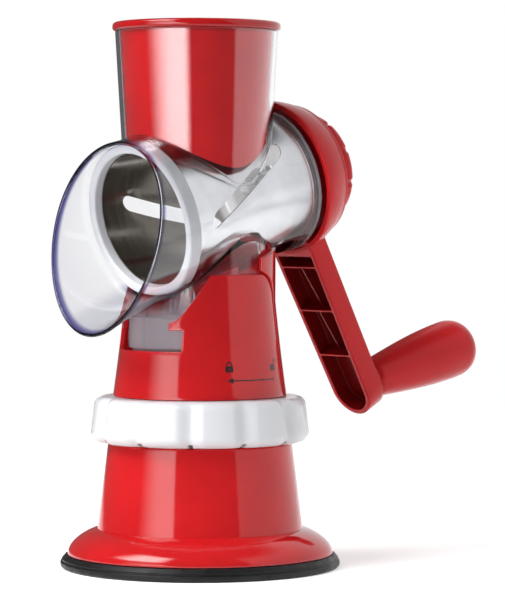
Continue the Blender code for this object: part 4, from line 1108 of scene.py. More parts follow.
@dataclass
class LockMarks:
    """Printed signs on the upper stand: a shut lock, an open lock and the arrow between them.

    Opened is how far an open shackle is lifted, swung aside and how high its free leg ends.
    """

    proud: float = 0.00005
    thick: float = 0.00006
    shut_angle: float = math.radians(70.4)
    open_angle: float = math.radians(109.6)
    lock_height: float = 0.0964
    lock_half: float = 0.0020
    lock_rise: float = 0.0029
    lock_corner: float = 0.0004
    keyhole: float = 0.00035
    keyhole_rise: float = 0.0013
    bow: float = 0.00125
    bow_rise: float = 0.0006
    opened: Triple = (0.0012, 0.0025, 0.0004)
    overlap: float = 0.0001
    spacing: float = 0.0008
    arrow_height: float = 0.0924
    arrow_gap: float = 0.0004
    arrow_tip: float = 0.0010
    arrow_head: Pair = (0.0022, 0.0014)
    stop: Pair = (0.0012, 0.0013)
    stroke: float = 0.0006

    def band(self, path: Array) -> Array:
        """Closed anticlockwise outline of a stroke that follows an open path."""
        step = np.gradient(path, axis=0)
        step = step / length_of(step, axis=1)[:, None]
        side = np.stack([step[:, 1], -step[:, 0]], 1) * self.stroke / 2.0
        return np.concatenate([path + side, (path - side)[::-1]])

    def lock(self, centre: float, opened: bool) -> list[list[Array]]:
        """Loops of a padlock: a body with a keyhole, and a shackle that is shut or swung aside."""
        half, high, soft = self.lock_half, self.lock_rise, self.lock_corner
        body = rounded([(0.0, 0.0), (half, 0.0, soft), (half, high, soft), (-half, high, soft),
                        (-half, 0.0, soft), (0.0, 0.0)], 3, 0.0002)[:-1]
        key = circle(self.keyhole, 12, (0.0, self.keyhole_rise))[::-1]
        k = np.linspace(0.0, math.pi, 16)
        lift, shift, leg = self.opened if opened else (self.bow_rise, 0.0, -self.overlap)
        arch = np.stack([self.bow * np.cos(k) + shift, high + lift + self.bow * np.sin(k)], 1)
        shackle = self.band(np.concatenate([[(self.bow + shift, high + leg)], arch,
                                            [(shift - self.bow, high - self.overlap)]]))
        move = (centre, self.lock_height)
        return [[body + move, key + move], [shackle + move]]

    def build(self) -> None:
        """Prints the marks as thin curved patches just proud of the wall."""
        start, end = LAYOUT.sheet * self.shut_angle, LAYOUT.sheet * self.open_angle
        tip, high = start - self.arrow_gap, self.arrow_height
        back, half = self.arrow_head
        head = np.array([(tip - self.arrow_tip, high), (tip + back, high - half),
                         (tip + back, high + half)])
        shaft = self.band(line((tip + back - self.overlap, high), (end, high)))
        stop = self.band(line((end, high - self.stop[0]), (end, high + self.stop[1]), 0.0005))
        relief = Relief(lambda a, z, depth: wrapped(a, z, LAYOUT.stand_radius(z) + self.proud - depth))
        for loops in self.lock(start, False) + self.lock(end, True) + [[head], [shaft], [stop]]:
            for loop in loops:
                relief.wall(loop, [(0.0, 0.0), (0.0, self.thick)])
            for depth in (0.0, self.thick):
                relief.skin(loops, depth, self.spacing)
        settle(solid("lock_marks", *relief.parts, merge=1e-6), "stand", Look.PRINT)


# Clear housing


@dataclass
class Housing:
    """The clear moulding: drum chamber with its bead, flared scoop, hopper, skirt and tab.

    A pair that ends in tint or shade says where a tint or a painted shade starts to fade or grow, and
    over what width.
    """

    bore: float = 0.034
    wall: float = 0.0016
    bead: float = 0.0003
    bead_soft: float = 0.0008
    bell: float = 0.0381
    bell_start: float = 0.010
    bell_end: float = -0.0314
    bell_curve: float = 1.35
    ring_back: float = -0.0324
    wall_front: float = 0.0456
    wall_back: float = 0.0479
    drum_back: float = 0.0448
    scoop_start: float = -0.040
    mouth_top_s: float = -0.042
    mouth_bottom_s: float = -0.0807
    mouth_top: float = 0.0397
    mouth_bottom: float = 0.0463
    mouth_half: float = 0.041
    egg: float = 0.066
    flare: float = 1.7
    skirt: Pair = (0.0310, 0.0330)
    skirt_heights: Pair = (0.1023, 0.171)
    tab: Pair = (0.0322, 0.0348)
    tab_half: float = 0.0232
    tab_heights: Pair = (0.1067, 0.1221)
    bush_hole: float = 0.0086
    bush_reach: Pair = (0.040, 0.052)
    joint_radius: float = 0.0006
    lip_tint_and_shade: Pair = (0.0022, 0.0020)
    under_shade: Pair = (0.80, 0.12)
    under_back: float = 0.020
    under_radius: float = 0.060
    hind_fade: float = 0.004
    hind_share: Pair = (0.3, 0.9)
    scoop_tint: Pair = (0.05, 0.13)
    skirt_top: float = 0.150
    room: float = 0.002
    near: float = 0.001
    columns: int = 176

    def chamber_bore(self, s: Array) -> Array:
        """Bore of the chamber: straight at the back, then a smooth bell up to the front ring."""
        share = np.clip((self.bell_start - s) / (self.bell_start - self.bell_end), 0.0, 1.0)
        return self.bore + (self.bell - self.bore) * share ** self.bell_curve

    def circles(self, radii: Sequence[float] | Array, places: Sequence[float] | Array) -> Array:
        """Rings about the drum's axis, one row for each radius and place."""
        t = around(self.columns).T
        r = np.asarray(radii)[:, None]
        return DRUM.at(r * np.sin(t), r * np.cos(t), np.asarray(places)[:, None] + 0.0 * t)

    def mouth_place(self, cosine: Array) -> Array:
        """Place along the axis of the leaning mouth, by the cosine of the angle from its top."""
        top, low = self.mouth_top_s, self.mouth_bottom_s
        return (top + low) / 2.0 + (top - low) / 2.0 * cosine

    def scoop(self, v: Sequence[float] | Array, cut: float) -> Array:
        """Sections of the scoop, from the chamber's circle to the leaning egg mouth.

        Each point goes from circle to mouth by v to the power of the flare across and up, and
        evenly along the axis.

        Args:
            v: Share of the way to the mouth.
            cut: How far inside the outer surface.

        Returns:
            Rows of points.
        """
        t, v = around(self.columns).T, np.asarray(v)[:, None]
        start, top, low = self.bell + self.wall - cut, self.mouth_top, self.mouth_bottom
        across = (self.mouth_half - cut) * (1.0 + self.egg * np.cos(t)) * np.sin(t)
        up = (top - low) / 2.0 + ((top + low) / 2.0 - cut) * np.cos(t)
        swell = v ** self.flare
        x = start * np.sin(t) + (across - start * np.sin(t)) * swell
        u = start * np.cos(t) + (up - start * np.cos(t)) * swell
        return DRUM.at(x, u, self.scoop_start + (self.mouth_place(np.cos(t)) - self.scoop_start) * v)

    def shell(self) -> Part:
        """Chamber and scoop as one hollow wall: over the rear, out, round the lip and back inside."""
        stations = np.concatenate([[self.drum_back], np.linspace(self.bell_start, self.ring_back, 24)])
        rim, soft = self.bore + self.wall + self.bead, self.bead_soft
        k = np.linspace(0.0, QUARTER, 6)
        back_r = np.concatenate([[0.0], rim - soft + soft * np.sin(k), [rim, rim - self.bead * 0.2]])
        back_s = np.concatenate([[self.wall_back], self.wall_back - soft + soft * np.cos(k),
                                 [self.wall_front + 0.0004, self.wall_front]])
        v = np.linspace(0.0, 0.985, 40)
        outer, inner = self.scoop([1.0], 0.0), self.scoop([1.0], self.wall)
        ahead = outer - self.scoop([0.97], 0.0)
        ahead = ahead / length_of(ahead, axis=2, keepdims=True)
        k = np.linspace(0.0, math.pi, 9)[:, None, None]
        lip = (outer + inner) / 2.0 + (outer - inner) / 2.0 * np.cos(k)
        lip = lip + ahead * (self.wall / 2.0) * (np.sin(k) - 1.0)
        bore = self.chamber_bore(stations)
        return grid(np.concatenate([
            self.circles(back_r, back_s), self.circles(bore + self.wall, stations),
            self.scoop(v, 0.0), lip, self.scoop(v[::-1], self.wall),
            self.circles(bore[::-1], stations[::-1]),
            self.circles([self.bore, 0.0], [self.wall_front] * 2)]), False, True)

    def core(self) -> Part:
        """Form that clears hopper and skirt out of the chamber: its surface runs in mid wall."""
        s = np.linspace(self.bell_start, self.ring_back, 24)
        s = np.concatenate([[self.wall_front + 0.0008], s])
        scoop = self.scoop(np.linspace(0.0, 1.0, 20), self.wall / 2.0)
        return grid(np.concatenate([
            self.circles([0.0], s[:1]), self.circles(self.chamber_bore(s) + self.wall / 2.0, s), scoop,
            scoop[-1:].mean(1, keepdims=True) + 0.0 * scoop[-1:]]), False, True)

    def hopper(self) -> tuple[Part, Part]:
        """Filled hopper with a rounded rim, and the bore that hollows it."""
        low, top = LAYOUT.axis_height, LAYOUT.hopper_top
        z = np.linspace(low, top - 0.0008, 60)
        body = np.stack([LAYOUT.hopper_radius(z), z], 1)
        rim = rounded([body[-1], (LAYOUT.hopper_radius(top), top, 0.0005), (0.0, top)])[1:]
        z = np.linspace(low + 0.002, top + 0.005, 60)
        bore = np.stack([LAYOUT.hopper_radius(z) - LAYOUT.hopper_wall, z], 1)
        return (lathe(np.concatenate([[(0.0, low)], body, rim]), HOPPER, 168),
                lathe(np.concatenate([[(0.0, z[0])], bore, [(0.0, z[-1])]]), HOPPER, 168))

    def joint(self) -> Part:
        """Small fillet bead along the line where the hopper stands on the chamber."""
        t, k = around(240), around(12).T
        z = np.full_like(t, 0.205)
        for _ in range(16):
            r = LAYOUT.hopper_radius(z)
            s = DRUM.split(HOPPER.at(r * np.sin(t), r * np.cos(t), z))[2]
            z = LAYOUT.under_hopper(r, t, self.chamber_bore(s) + self.wall)
        r = LAYOUT.hopper_radius(z) + self.joint_radius * np.cos(k)
        z = z + self.joint_radius * np.sin(k)
        return grid(HOPPER.at(r * np.sin(t), r * np.cos(t), z), True, True)

    def paint_edges(self, thing: Thing) -> None:
        """Marks where tint, painted shade and a milky haze go: lip, scoop, underside, tab and rear
        bead.

        The dark edge tint is partly the moulding's own and partly painted shade at the lip, and painted
        shade alone on the underside and at the tab's ends, standing in for the dark bands that
        refraction through the thick wall shows there.  The skirt is calm: it bends and mirrors less, so
        what is behind it shows.  A point right in the middle counts as one at the mouth's top.
        """
        place = read(thing)
        x, u, s = DRUM.split(place)
        r, stem, z = np.hypot(x, u), np.hypot(place[:, 0], place[:, 1]), place[:, 2]
        top, low = self.mouth_top, self.mouth_bottom
        cosine = np.clip((u - (top - low) / 2.0) / ((top + low) / 2.0), -1.0, 1.0)
        mouth = self.mouth_place(np.where(x == 0.0, 1.0, cosine))
        start, (least, growth) = self.scoop_start, self.scoop_tint
        ahead = np.clip((start - s) / np.maximum(start - mouth, self.room), 0.0, 1.0)
        # lip: partly the moulding's tint, partly painted shade of the thick rim
        lip = (1.0 - ramp(np.abs(s - mouth), *self.lip_tint_and_shade)) * (s < start + self.room)
        bead = ramp(s, self.drum_back, self.near) * (r > self.bore - self.near)
        # painted shade on the underside, standing in for the dark band that refraction shows along it
        under = ramp(-u / np.maximum(r, self.near), *self.under_shade)
        under = under * (s < self.under_back) * (r < self.under_radius)
        low_stem = stem < self.tab[1] + 0.0002
        skirt = low_stem & (z < self.skirt_top) & (r > self.bell + self.wall)
        tab = low_stem & (stem > self.tab[0] - 0.0001) & (z < self.tab_heights[1] + 0.0002)
        hind = np.clip((s - start + self.hind_fade) / self.hind_fade, *self.hind_share)
        # painted shade at the tab's ends
        jamb = 1.0 * (tab & (np.abs(x) > self.tab_half - 0.0003))
        under = under * ~skirt
        edge = [lip, 0.1 * bead, under * hind, least + growth * ahead, jamb]
        shade(thing, "edge", np.maximum.reduce(edge))
        shade(thing, "haze", np.maximum.reduce([0.3 * bead, 0.05 * under, 0.03 * skirt, 0.4 * tab]))
        shade(thing, "calm", skirt)

    def build(self) -> None:
        """Joins the outer forms, hollows them and marks the tinted edges."""
        body, bore = self.hopper()
        works = solid("works", body)
        (near, far), (low, high) = self.skirt, self.skirt_heights
        skirt = rounded([(near, low), (far, low, 0.0005), (far, high), (near, high)])
        (near, far), (low, high) = self.tab, self.tab_heights
        tab = rounded([(near, low), (far, low, 0.0005), (far, high, 0.0009), (near, high)])
        keep = box((-self.tab_half, 0.008, 0.09), (self.tab_half, 0.06, 0.13))
        tab = combine(solid("tab", lathe(tab, UPRIGHT, 160)), (Join.KEEP, solid("tab_keep", keep)))
        combine(works, (Join.ADD, solid("joint", self.joint())),
                (Join.ADD, solid("skirt", lathe(skirt, UPRIGHT, 160))), (Join.ADD, tab),
                (Join.CUT, solid("core", self.core())))
        hole = plug(*self.bush_reach, self.bush_hole, DRUM, 64)
        shell = solid("clear_housing", self.shell())
        combine(shell, (Join.ADD, works), (Join.CUT, solid("bore", bore)),
                (Join.CUT, solid("hole", hole)))
        self.paint_edges(shell)
        settle(shell, "head", Look.CLEAR, "drum_housing")


# Pusher


@dataclass
class Pusher:
    """Open red cup with a rolled rim and a saddle-shaped bottom over the drum."""

    gap: float = 0.0005
    wall: float = 0.0021
    rim: float = 0.0041
    rim_radius: float = 0.040785
    saddle: float = 0.0374

    def body(self, z: Array) -> Array:
        """Outer radius of the cup at a height."""
        return LAYOUT.hopper_radius(z) - LAYOUT.hopper_wall - self.gap

    def floor(self, t: Array, cut: float) -> tuple[Array, Array]:
        """Radii and heights of one side of the floor, from its middle to the wall that it meets.

        The height of that line is found by going back and forth between wall and saddle.

        Args:
            t: Angles round the cup.
            cut: How far inside the outer surface.

        Returns:
            Radii and heights, a row for each angle.
        """
        z = np.full_like(t, 0.215)
        for _ in range(12):
            z = LAYOUT.under_hopper(self.body(z) - cut, t, self.saddle + cut)
        r = (self.body(z) - cut) * np.linspace(0.0, 1.0, 26)[None] ** 0.8
        return r, LAYOUT.under_hopper(r, t, self.saddle + cut)

    def surface(self) -> Part:
        """Polar grid: under the floor, up the wall, over the rim, down inside and in over the floor."""
        t = around(256)
        (under_r, under_z), (floor_r, floor_z) = (self.floor(t, cut) for cut in (0.0, self.wall))
        low = LAYOUT.hopper_top + LAYOUT.gap
        high = low + self.rim
        climb = np.linspace(0.0, 1.0, 30)[None, 1:]
        rise = under_z[:, -1:] + (low - under_z[:, -1:]) * climb
        fall = low + (floor_z[:, -1:] - low) * climb[:, :-1]
        lip = rounded([(self.body(low), low), (self.rim_radius, low, 0.0014),
                       (self.rim_radius, high, 0.0018), (self.body(high) - self.wall, high, 0.0006),
                       (self.body(low) - self.wall, low)], 7)[None, 1:] * np.ones((len(t), 1, 1))
        r = np.concatenate([under_r, self.body(rise), lip[..., 0], self.body(fall) - self.wall,
                            floor_r[:, ::-1]], 1)
        z = np.concatenate([under_z, rise, lip[..., 1], fall, floor_z[:, ::-1]], 1)
        return grid(HOPPER.at(r * np.sin(t), r * np.cos(t), z))

    def build(self) -> None:
        """Makes the cup; its wall inside the clear hopper gets less light, so it has painted light, a
        lighter red, and painted shade darkens its rim and inside.
        """
        cup = solid("pusher_cup", self.surface())
        x, y, z = read(cup).T
        inner = np.hypot(x, y - LAYOUT.hopper_y) < self.body(z) - self.wall / 2.0
        # painted shade: the rim and inside get the darker red; the wall inside the hopper keeps the
        # painted-light lighter red
        shade(cup, "deep", (z > LAYOUT.hopper_top) | inner)
        settle(cup, "plunger", Look.RED_CUP, "pusher")


# Drum


@dataclass
class Drum:
    """Steel drum with slanted slots, its white front ring, and the closed end with the hub."""

    radius: float = 0.0332
    sheet: float = 0.0006
    front: float = -0.0342
    back: float = 0.0448
    slots: int = 4
    slot_angle: float = math.radians(13.5)
    twist: float = 835.0 * math.pi / 180.0
    phase: float = math.radians(8.5)
    slot_start: float = -0.0215
    slot_end: float = 0.0325
    lift: float = 0.0004
    dip: float = 0.0008
    spread: float = math.radians(9.0)
    fan: float = 0.06
    columns: int = 52
    ring_back: float = -0.0324
    ring_front: float = -0.0392
    ring_radius: float = 0.0375
    ring_bore: float = 0.0335
    ring_step: float = -0.0345
    plate: Pair = (0.0409, 0.0418)
    plate_bore: float = 0.0075
    hub: Triple = (0.0350, 0.0421, 0.0435)
    hub_radii: Pair = (0.0072, 0.0125)
    lit: float = 0.034
    fade: float = 0.007

    def shell(self) -> list[Part]:
        """Both skins of the sheet with round-ended slots, and the walls that join them.

        A slot's half width falls as a half circle at either end.  Columns fan out evenly from one
        slot's edge to the next.  One side of a slot is lifted and the other dips, each dying away
        over a short arc.
        """
        half, start, last = self.slot_angle / 2.0, self.slot_start, self.slot_end
        end = half * self.radius
        k = np.sin(np.linspace(0.0, QUARTER, 9))
        rows = np.concatenate([
            np.linspace(self.front, start, 14)[:-1], start + end * (1.0 - k[::-1]),
            np.linspace(start + end, last - end, 44)[1:-1], last - end * (1.0 - k),
            np.linspace(last, self.back, 12)[1:]])[:, None]
        short = 1.0 - np.clip(np.minimum(rows - start, last - rows), 0.0, end) / end
        width = half * np.sqrt(np.maximum(1.0 - short ** 2, 0.0))
        pitch, ramp_length = TURN / self.slots, (last - start) / 4.0
        share = np.linspace(0.0, 1.0, self.columns)[None]
        offset = width + (pitch - 2.0 * width) * (share - self.fan * np.sin(TURN * share))
        swell = smooth(ramp(rows, start, ramp_length) * ramp(-rows, -last, ramp_length))
        ahead = np.clip(1.0 - (offset - width) / self.spread, 0.0, 1.0)
        behind = np.clip(1.0 - (pitch - width - offset) / self.spread, 0.0, 1.0)
        push = np.tile(swell * (self.lift * ahead ** 1.5 - self.dip * behind ** 1.5), (1, self.slots))
        turns = np.concatenate([offset + pitch * i for i in range(self.slots)], 1)
        turns = turns + self.phase + self.twist * rows
        skins = [DRUM.at(r * np.cos(turns), r * np.sin(turns), rows + 0.0 * turns)
                 for r in (self.radius + push, self.radius - self.sheet + push)]
        faces = grid_faces(*turns.shape, False, True)
        faces = faces[faces[:, 0] % turns.shape[1] % self.columns != self.columns - 1]
        parts = [(skin.reshape(-1, 3), faces) for skin in skins]
        parts += [grid(np.stack([skin[row] for skin in skins]), False, True) for row in (0, -1)]
        open_rows = np.where(width[:, 0] > 0.0)[0]
        cut = slice(open_rows[0] - 1, open_rows[-1] + 2)
        for i in range(self.slots * self.columns):
            if i % self.columns in (0, self.columns - 1):
                parts.append(grid(np.stack([skin[cut, i] for skin in skins]), False, False))
        return parts

    def collar(self) -> Part:
        """White ring round the drum's front edge, softly rounded."""
        front, step = self.ring_front, self.ring_step
        return lathe(rounded([
            (self.ring_bore, self.ring_back), (self.ring_radius, self.ring_back, 0.0008),
            (self.ring_radius, front, 0.0011), (self.radius - 0.0002, front, 0.0011),
            (self.radius - 0.0005, step, 0.0003), (self.ring_bore, step)]), DRUM, 220)

    def end(self) -> tuple[Part, Part]:
        """Back plate with its rounded rim, and the hub with its flange."""
        (face, back), bore, outer = self.plate, self.plate_bore, self.radius - self.sheet - 0.0003
        (low, step, high), (near, far) = self.hub, self.hub_radii
        plate = rounded([(bore, face), (outer, face, 0.0004), (outer, back), (bore, back)])
        hub = rounded([(0.0, low), (near, low, 0.0006), (near, step), (far, step), (far, high, 0.0004),
                       (0.0, high)])
        return lathe(plate, DRUM, 160), lathe(hub, DRUM, 96)

    def build(self) -> None:
        """Makes the drum's pieces; the shell's inner walls get painted shade towards the front and a
        painted glow towards the back, and the end plate's front face a painted glow.
        """
        shell = solid("slotted_drum", *self.shell())
        across, up, along = DRUM.split(read(shell))
        side, rise, _ = DRUM.split(read(shell, "normal") + DRUM.origin)
        inner = 0.5 - 2.0 * (across * side + up * rise) / np.hypot(across, up)
        front = 1.0 - ramp(along, self.lit, self.fade)
        # painted shade on inner walls towards the front, painted light (a glow) on those at the back
        shade(shell, "deep", inner * front)
        shade(shell, "inner", inner * (1.0 - front))
        settle(shell, "drum", Look.STEEL, "drum_shell")
        settle(solid("drum_collar", self.collar()), "drum", Look.WHITE, "drum_front_ring")
        plate, hub = self.end()
        end = solid("drum_end", plate)
        # painted light: the end plate's front face glows
        shade(end, "inner", read(end, "normal") @ np.array(DRUM.along) < -0.5)
        settle(end, "drum", Look.STEEL, "drum_back_plate")
        settle(solid("drum_boss", hub), "drum", Look.WHITE, "drum_hub")


# Crank


@dataclass
class Crank:
    """Cupped disc and channelled arm with cross ribs, the notched cap and the turned grip."""

    disc_front: float = 0.0500
    disc_back: float = 0.0679
    disc_radius: float = 0.0390
    disc_taper: float = 0.0052
    disc_boss: float = 0.009
    disc_lip: float = 0.0010
    disc_crown: float = 0.0020
    arm_start: float = 0.040
    arm_front: float = 0.0528
    lean: float = math.atan(0.269)
    root: float = 0.008
    reach: float = 0.0797
    half_root: float = 0.0150
    half_end: float = 0.0130
    depth: float = 0.0114
    wall: float = 0.0026
    pocket: float = 0.0088
    corner: float = 0.0012
    edge: float = 0.0007
    mouth: float = 0.0004
    foot: float = 0.0006
    back_edge: float = 0.0009
    rib: float = 0.0010
    ribs: tuple[float, ...] = (0.0003, 0.0070, 0.0320, 0.0580)
    spacing: float = 0.003
    side_step: float = 0.002
    fin_root: float = 0.0008
    fin_half: float = 0.0004
    fin_tops: Pair = (0.0016, 0.0048)
    boss: Pair = (0.0832, 0.0881)
    boss_radius: float = 0.0094
    cap: Pair = (0.0682, 0.0792)
    cap_radius: float = 0.0273
    cap_soft: float = 0.0040
    cap_wall: float = 0.0024
    notches: int = 10
    notch: float = 0.0017
    notch_share: float = 0.5
    notch_start: Pair = (0.0038, 0.0012)
    notch_inside: Pair = (0.0078, 0.003)
    grip_down: float = 0.114003
    grip_front: float = 0.088415
    grip_length: float = 0.06975
    grip_root: float = 0.0097
    grip_radius: float = 0.0150
    grip_dome: float = 0.0130
    pin_head: Pair = (0.0046, 0.0045)
    pin_bore: float = 0.0033
    pin_gap: float = 0.0003

    def arm_axis(self) -> Axis:
        """The arm's frame: across, out along the arm, and back through its depth."""
        c, s = math.cos(self.lean), math.sin(self.lean)
        up, along = np.array(DRUM.up), np.array(DRUM.along)
        origin = tuple(DRUM.at(0.0, -self.arm_start, self.arm_front))
        return Axis(origin, up=tuple(along * s - up * c), along=tuple(up * s + along * c))

    def half(self, t: float | Array) -> float | Array:
        """Half width of the arm at a distance out."""
        return self.half_root + (self.half_end - self.half_root) * np.maximum(0.0, t) / self.reach

    def tongue(self, start: float, cut: float) -> tuple[float, float, Array]:
        """Half widths at a distance out and at the end, and the points of the round end."""
        wide, narrow = self.half(start) - cut, self.half(self.reach) - cut
        k = np.linspace(0.0, math.pi, 33 if cut else 41)
        return wide, narrow, np.stack([narrow * np.cos(k), self.reach + narrow * np.sin(k)], 1)

    def cell(self, near: float, far: float) -> Array:
        """Anticlockwise outline of the pocket between two cross ribs, its corners rounded."""
        a, b, soft = self.half(near) - self.wall, self.half(far) - self.wall, self.corner
        return rounded([(0.0, near), (a, near, soft), (b, far, soft), (-b, far, soft), (-a, near, soft),
                        (0.0, near)], 4)[:-1]

    def arm(self) -> list[Part]:
        """The arm: an outer wall, a front face with pockets sunk in it and a plain back."""
        relief = Relief(self.arm_axis().at)
        start = -self.root
        wide, _, end = self.tongue(start, 0.0)
        left, right, step = (-wide, start), (wide, start), self.side_step
        outer = np.concatenate([line(left, right, step), line(right, end[0], step), end,
                                line(end[-1], left, step)[1:]])
        relief.wall(outer, brim(self.edge) + heel(self.back_edge, self.depth))
        gap = self.rib / 2.0
        cells = [self.cell(near + gap, far - gap) for near, far in zip(self.ribs, self.ribs[1:])]
        start = self.ribs[-1] + gap
        wide, narrow, end = self.tongue(start, self.wall)
        base = rounded([(-narrow, self.reach), (-wide, start, self.corner), (wide, start, self.corner),
                        (narrow, self.reach)], 4)
        pits = [cell[::-1] for cell in (*cells, np.concatenate([base[1:-1], end]))]
        floor = [(-shift, depth) for shift, depth in heel(self.foot, self.pocket)]
        for pit in pits:
            relief.wall(pit, brim(self.mouth) + floor)
            relief.skin([inset(pit, -self.foot)[::-1]], self.pocket, self.spacing)
        mouths = [inset(pit, self.mouth) for pit in pits]
        relief.skin([inset(outer, self.edge), *mouths], 0.0, self.spacing)
        relief.skin([inset(outer, self.back_edge)], self.depth, self.spacing)
        return relief.parts

    def shade_pockets(self, arm: Thing) -> None:
        """Paints shade on the walls and floors of the channel."""
        across, out, deep = self.arm_axis().split(read(arm))
        beyond = np.hypot(across, np.maximum(out - self.reach, 0.0))
        narrow = beyond < self.half(np.minimum(out, self.reach)) - self.wall + 0.0001
        level = (deep > 0.0003) & (deep < self.pocket + 0.0002)
        # painted shade: the channel's walls and floors are darkened
        shade(arm, "deep", narrow & level & (out > self.ribs[0]))

    def fins(self) -> list[Part]:
        """Thin sloping ribs along the middle of the two long pockets."""
        axis, low = self.arm_axis(), self.pocket + self.fin_root
        made = []
        for near, far in zip(self.ribs[1:], self.ribs[2:]):
            start, end = near + self.fin_half, far - self.fin_half
            foot, top = self.fin_tops
            out, deep = np.array([(start, low), (end, low), (end, top), (start, foot)]).T
            sides = np.stack([axis.at(a, out, deep) for a in (-self.fin_half, self.fin_half)])
            faces = np.concatenate([[[0, 1, 2, 3], [7, 6, 5, 4]], grid_faces(2, 4, False, True)])
            made.append((sides.reshape(-1, 3), faces))
        return made

    def disc(self) -> Part:
        """Cupped disc: a rounded shell that narrows to its flat back, with a boss inside."""
        front, back, w, radius = self.disc_front, self.disc_back, self.wall, self.disc_radius
        share, depth = np.linspace(0.0, 1.0, 22), back - front - self.disc_lip - self.disc_crown
        side = np.stack([radius - self.disc_taper * share ** 1.5,
                         front + self.disc_lip + depth * share], 1)
        last = side[-1, 0]
        edge = rounded([side[-1], (last - 0.0002, back, 0.0018), (0.0, back)], 6)[1:]
        lip = rounded([(radius - w, front + 0.002), (radius - w, front, 0.0005),
                       (radius, front, 0.0006), side[0]])[:-1]
        inner = side[side[:, 1] < back - w - self.disc_crown][::-1] - (w, 0.0)
        hub = [(0.0, front), (self.disc_boss, front), (self.disc_boss, back - w), (last - w, back - w)]
        return lathe(np.concatenate([hub, inner[:-2], lip, side, edge]), DRUM, 240)

    def grip_boss(self) -> Part:
        """Short boss behind the arm's round end; its front end follows the leaning floor it sits in."""
        (front, back), radius = self.boss, self.boss_radius
        profile = rounded([(0.0, front), (radius, front), (radius, back, 0.0005), (0.0, back)])
        points, faces = lathe(profile, DRUM.shifted(0.0, -self.grip_down, 0.0), 96)
        _, up, along = DRUM.split(points)
        slant = -(up + self.grip_down) * math.tan(self.lean) * (along < front + 0.0001)
        return points + slant[:, None] * np.array(DRUM.along), faces

    def notched_cap(self) -> Part:
        """Cap with grooves that run into its rounded back edge; each is a part of a round bar."""
        (front, back), radius, wall = self.cap, self.cap_radius, self.cap_wall
        profile = rounded([(0.0, back - wall), (radius - 0.0050, back - wall, 0.0010),
                           (radius - wall, back - 0.0050, 0.0010), (radius - wall, front),
                           (radius, front, 0.0004), (radius, back, self.cap_soft), (0.0, back)], 8)
        t, pitch = around(360), TURN / self.notches
        away = np.abs((t + pitch / 2.0) % pitch - pitch / 2.0) * radius
        groove = self.notch_share * np.sqrt(np.maximum(self.notch ** 2 - away ** 2, 0.0))
        r, s = profile.T[:, None]
        (rise, width), (inside_by, fade) = self.notch_start, self.notch_inside
        deep = ramp(s, front + rise, width) * ramp(r, radius - inside_by, fade)
        r = r - groove * deep * (np.arange(len(profile)) >= len(profile) // 3)
        return grid(DRUM.at(r * np.sin(t), r * np.cos(t), s + 0.0 * r))

    def grip(self) -> Part:
        """Turned grip: radius grows as sin^1.1 of the way, then a full round end."""
        front, radius, bore, gap = self.grip_front, self.grip_radius, self.pin_bore, self.pin_gap
        swell_end = front + self.grip_length - self.grip_dome
        share = np.linspace(0.0, 1.0, 40)
        r = self.grip_root + (radius - self.grip_root) * np.sin(share * QUARTER) ** 1.1
        body = np.stack([r, front + (swell_end - front) * share], 1)
        body[0, 0] -= 0.0006
        k = np.radians(np.linspace(3.0, 90.0, 30))
        dome = np.stack([radius * np.maximum(np.cos(k), 0.0) ** 0.75,
                         swell_end + self.grip_dome * np.sin(k) ** 0.85], 1)
        head, long = self.pin_head
        end, start = swell_end + gap, swell_end - long - gap
        hole = [(0.0, end), (head, end), (head, start), (bore, start), (bore, front)]
        return lathe(np.concatenate([hole, body, dome]), DRUM.shifted(0.0, -self.grip_down, 0.0), 180)

    def build(self) -> None:
        """Makes the disc with its arm, the cap and the grip."""
        arm = solid("cranked_arm", *self.arm())
        added = [("disc", self.disc()), ("boss", self.grip_boss())]
        added += [("fin", fin) for fin in self.fins()]
        combine(arm, *[(Join.ADD, solid(name, part)) for name, part in added])
        self.shade_pockets(arm)
        settle(arm, "crank", Look.RED_SATIN, "crank_arm")
        settle(solid("notched_cap", self.notched_cap()), "crank", Look.RED_SATIN, "hub_cap")
        settle(solid("turned_grip", self.grip()), "handle", Look.RED_SATIN, "grip")


# Solids that keep their own shape

SLOT_LOOKS = {"stainless_steel": Look.PLAIN_STEEL, "brass_nut": Look.BRASS, "white_acetal": Look.ACETAL}


def dress_kept(nodes: dict[str, Thing]) -> None:
    """Gives every solid that is still shown the finish of its material slot."""
    slots = {row["node"]: row["material_slot"] for row in frame["record"]["subparts"]}
    for name, node in nodes.items():
        dress(node, SLOT_LOOKS[slots[name]])
        log.info("%s keeps its own shape", name)


# Studio


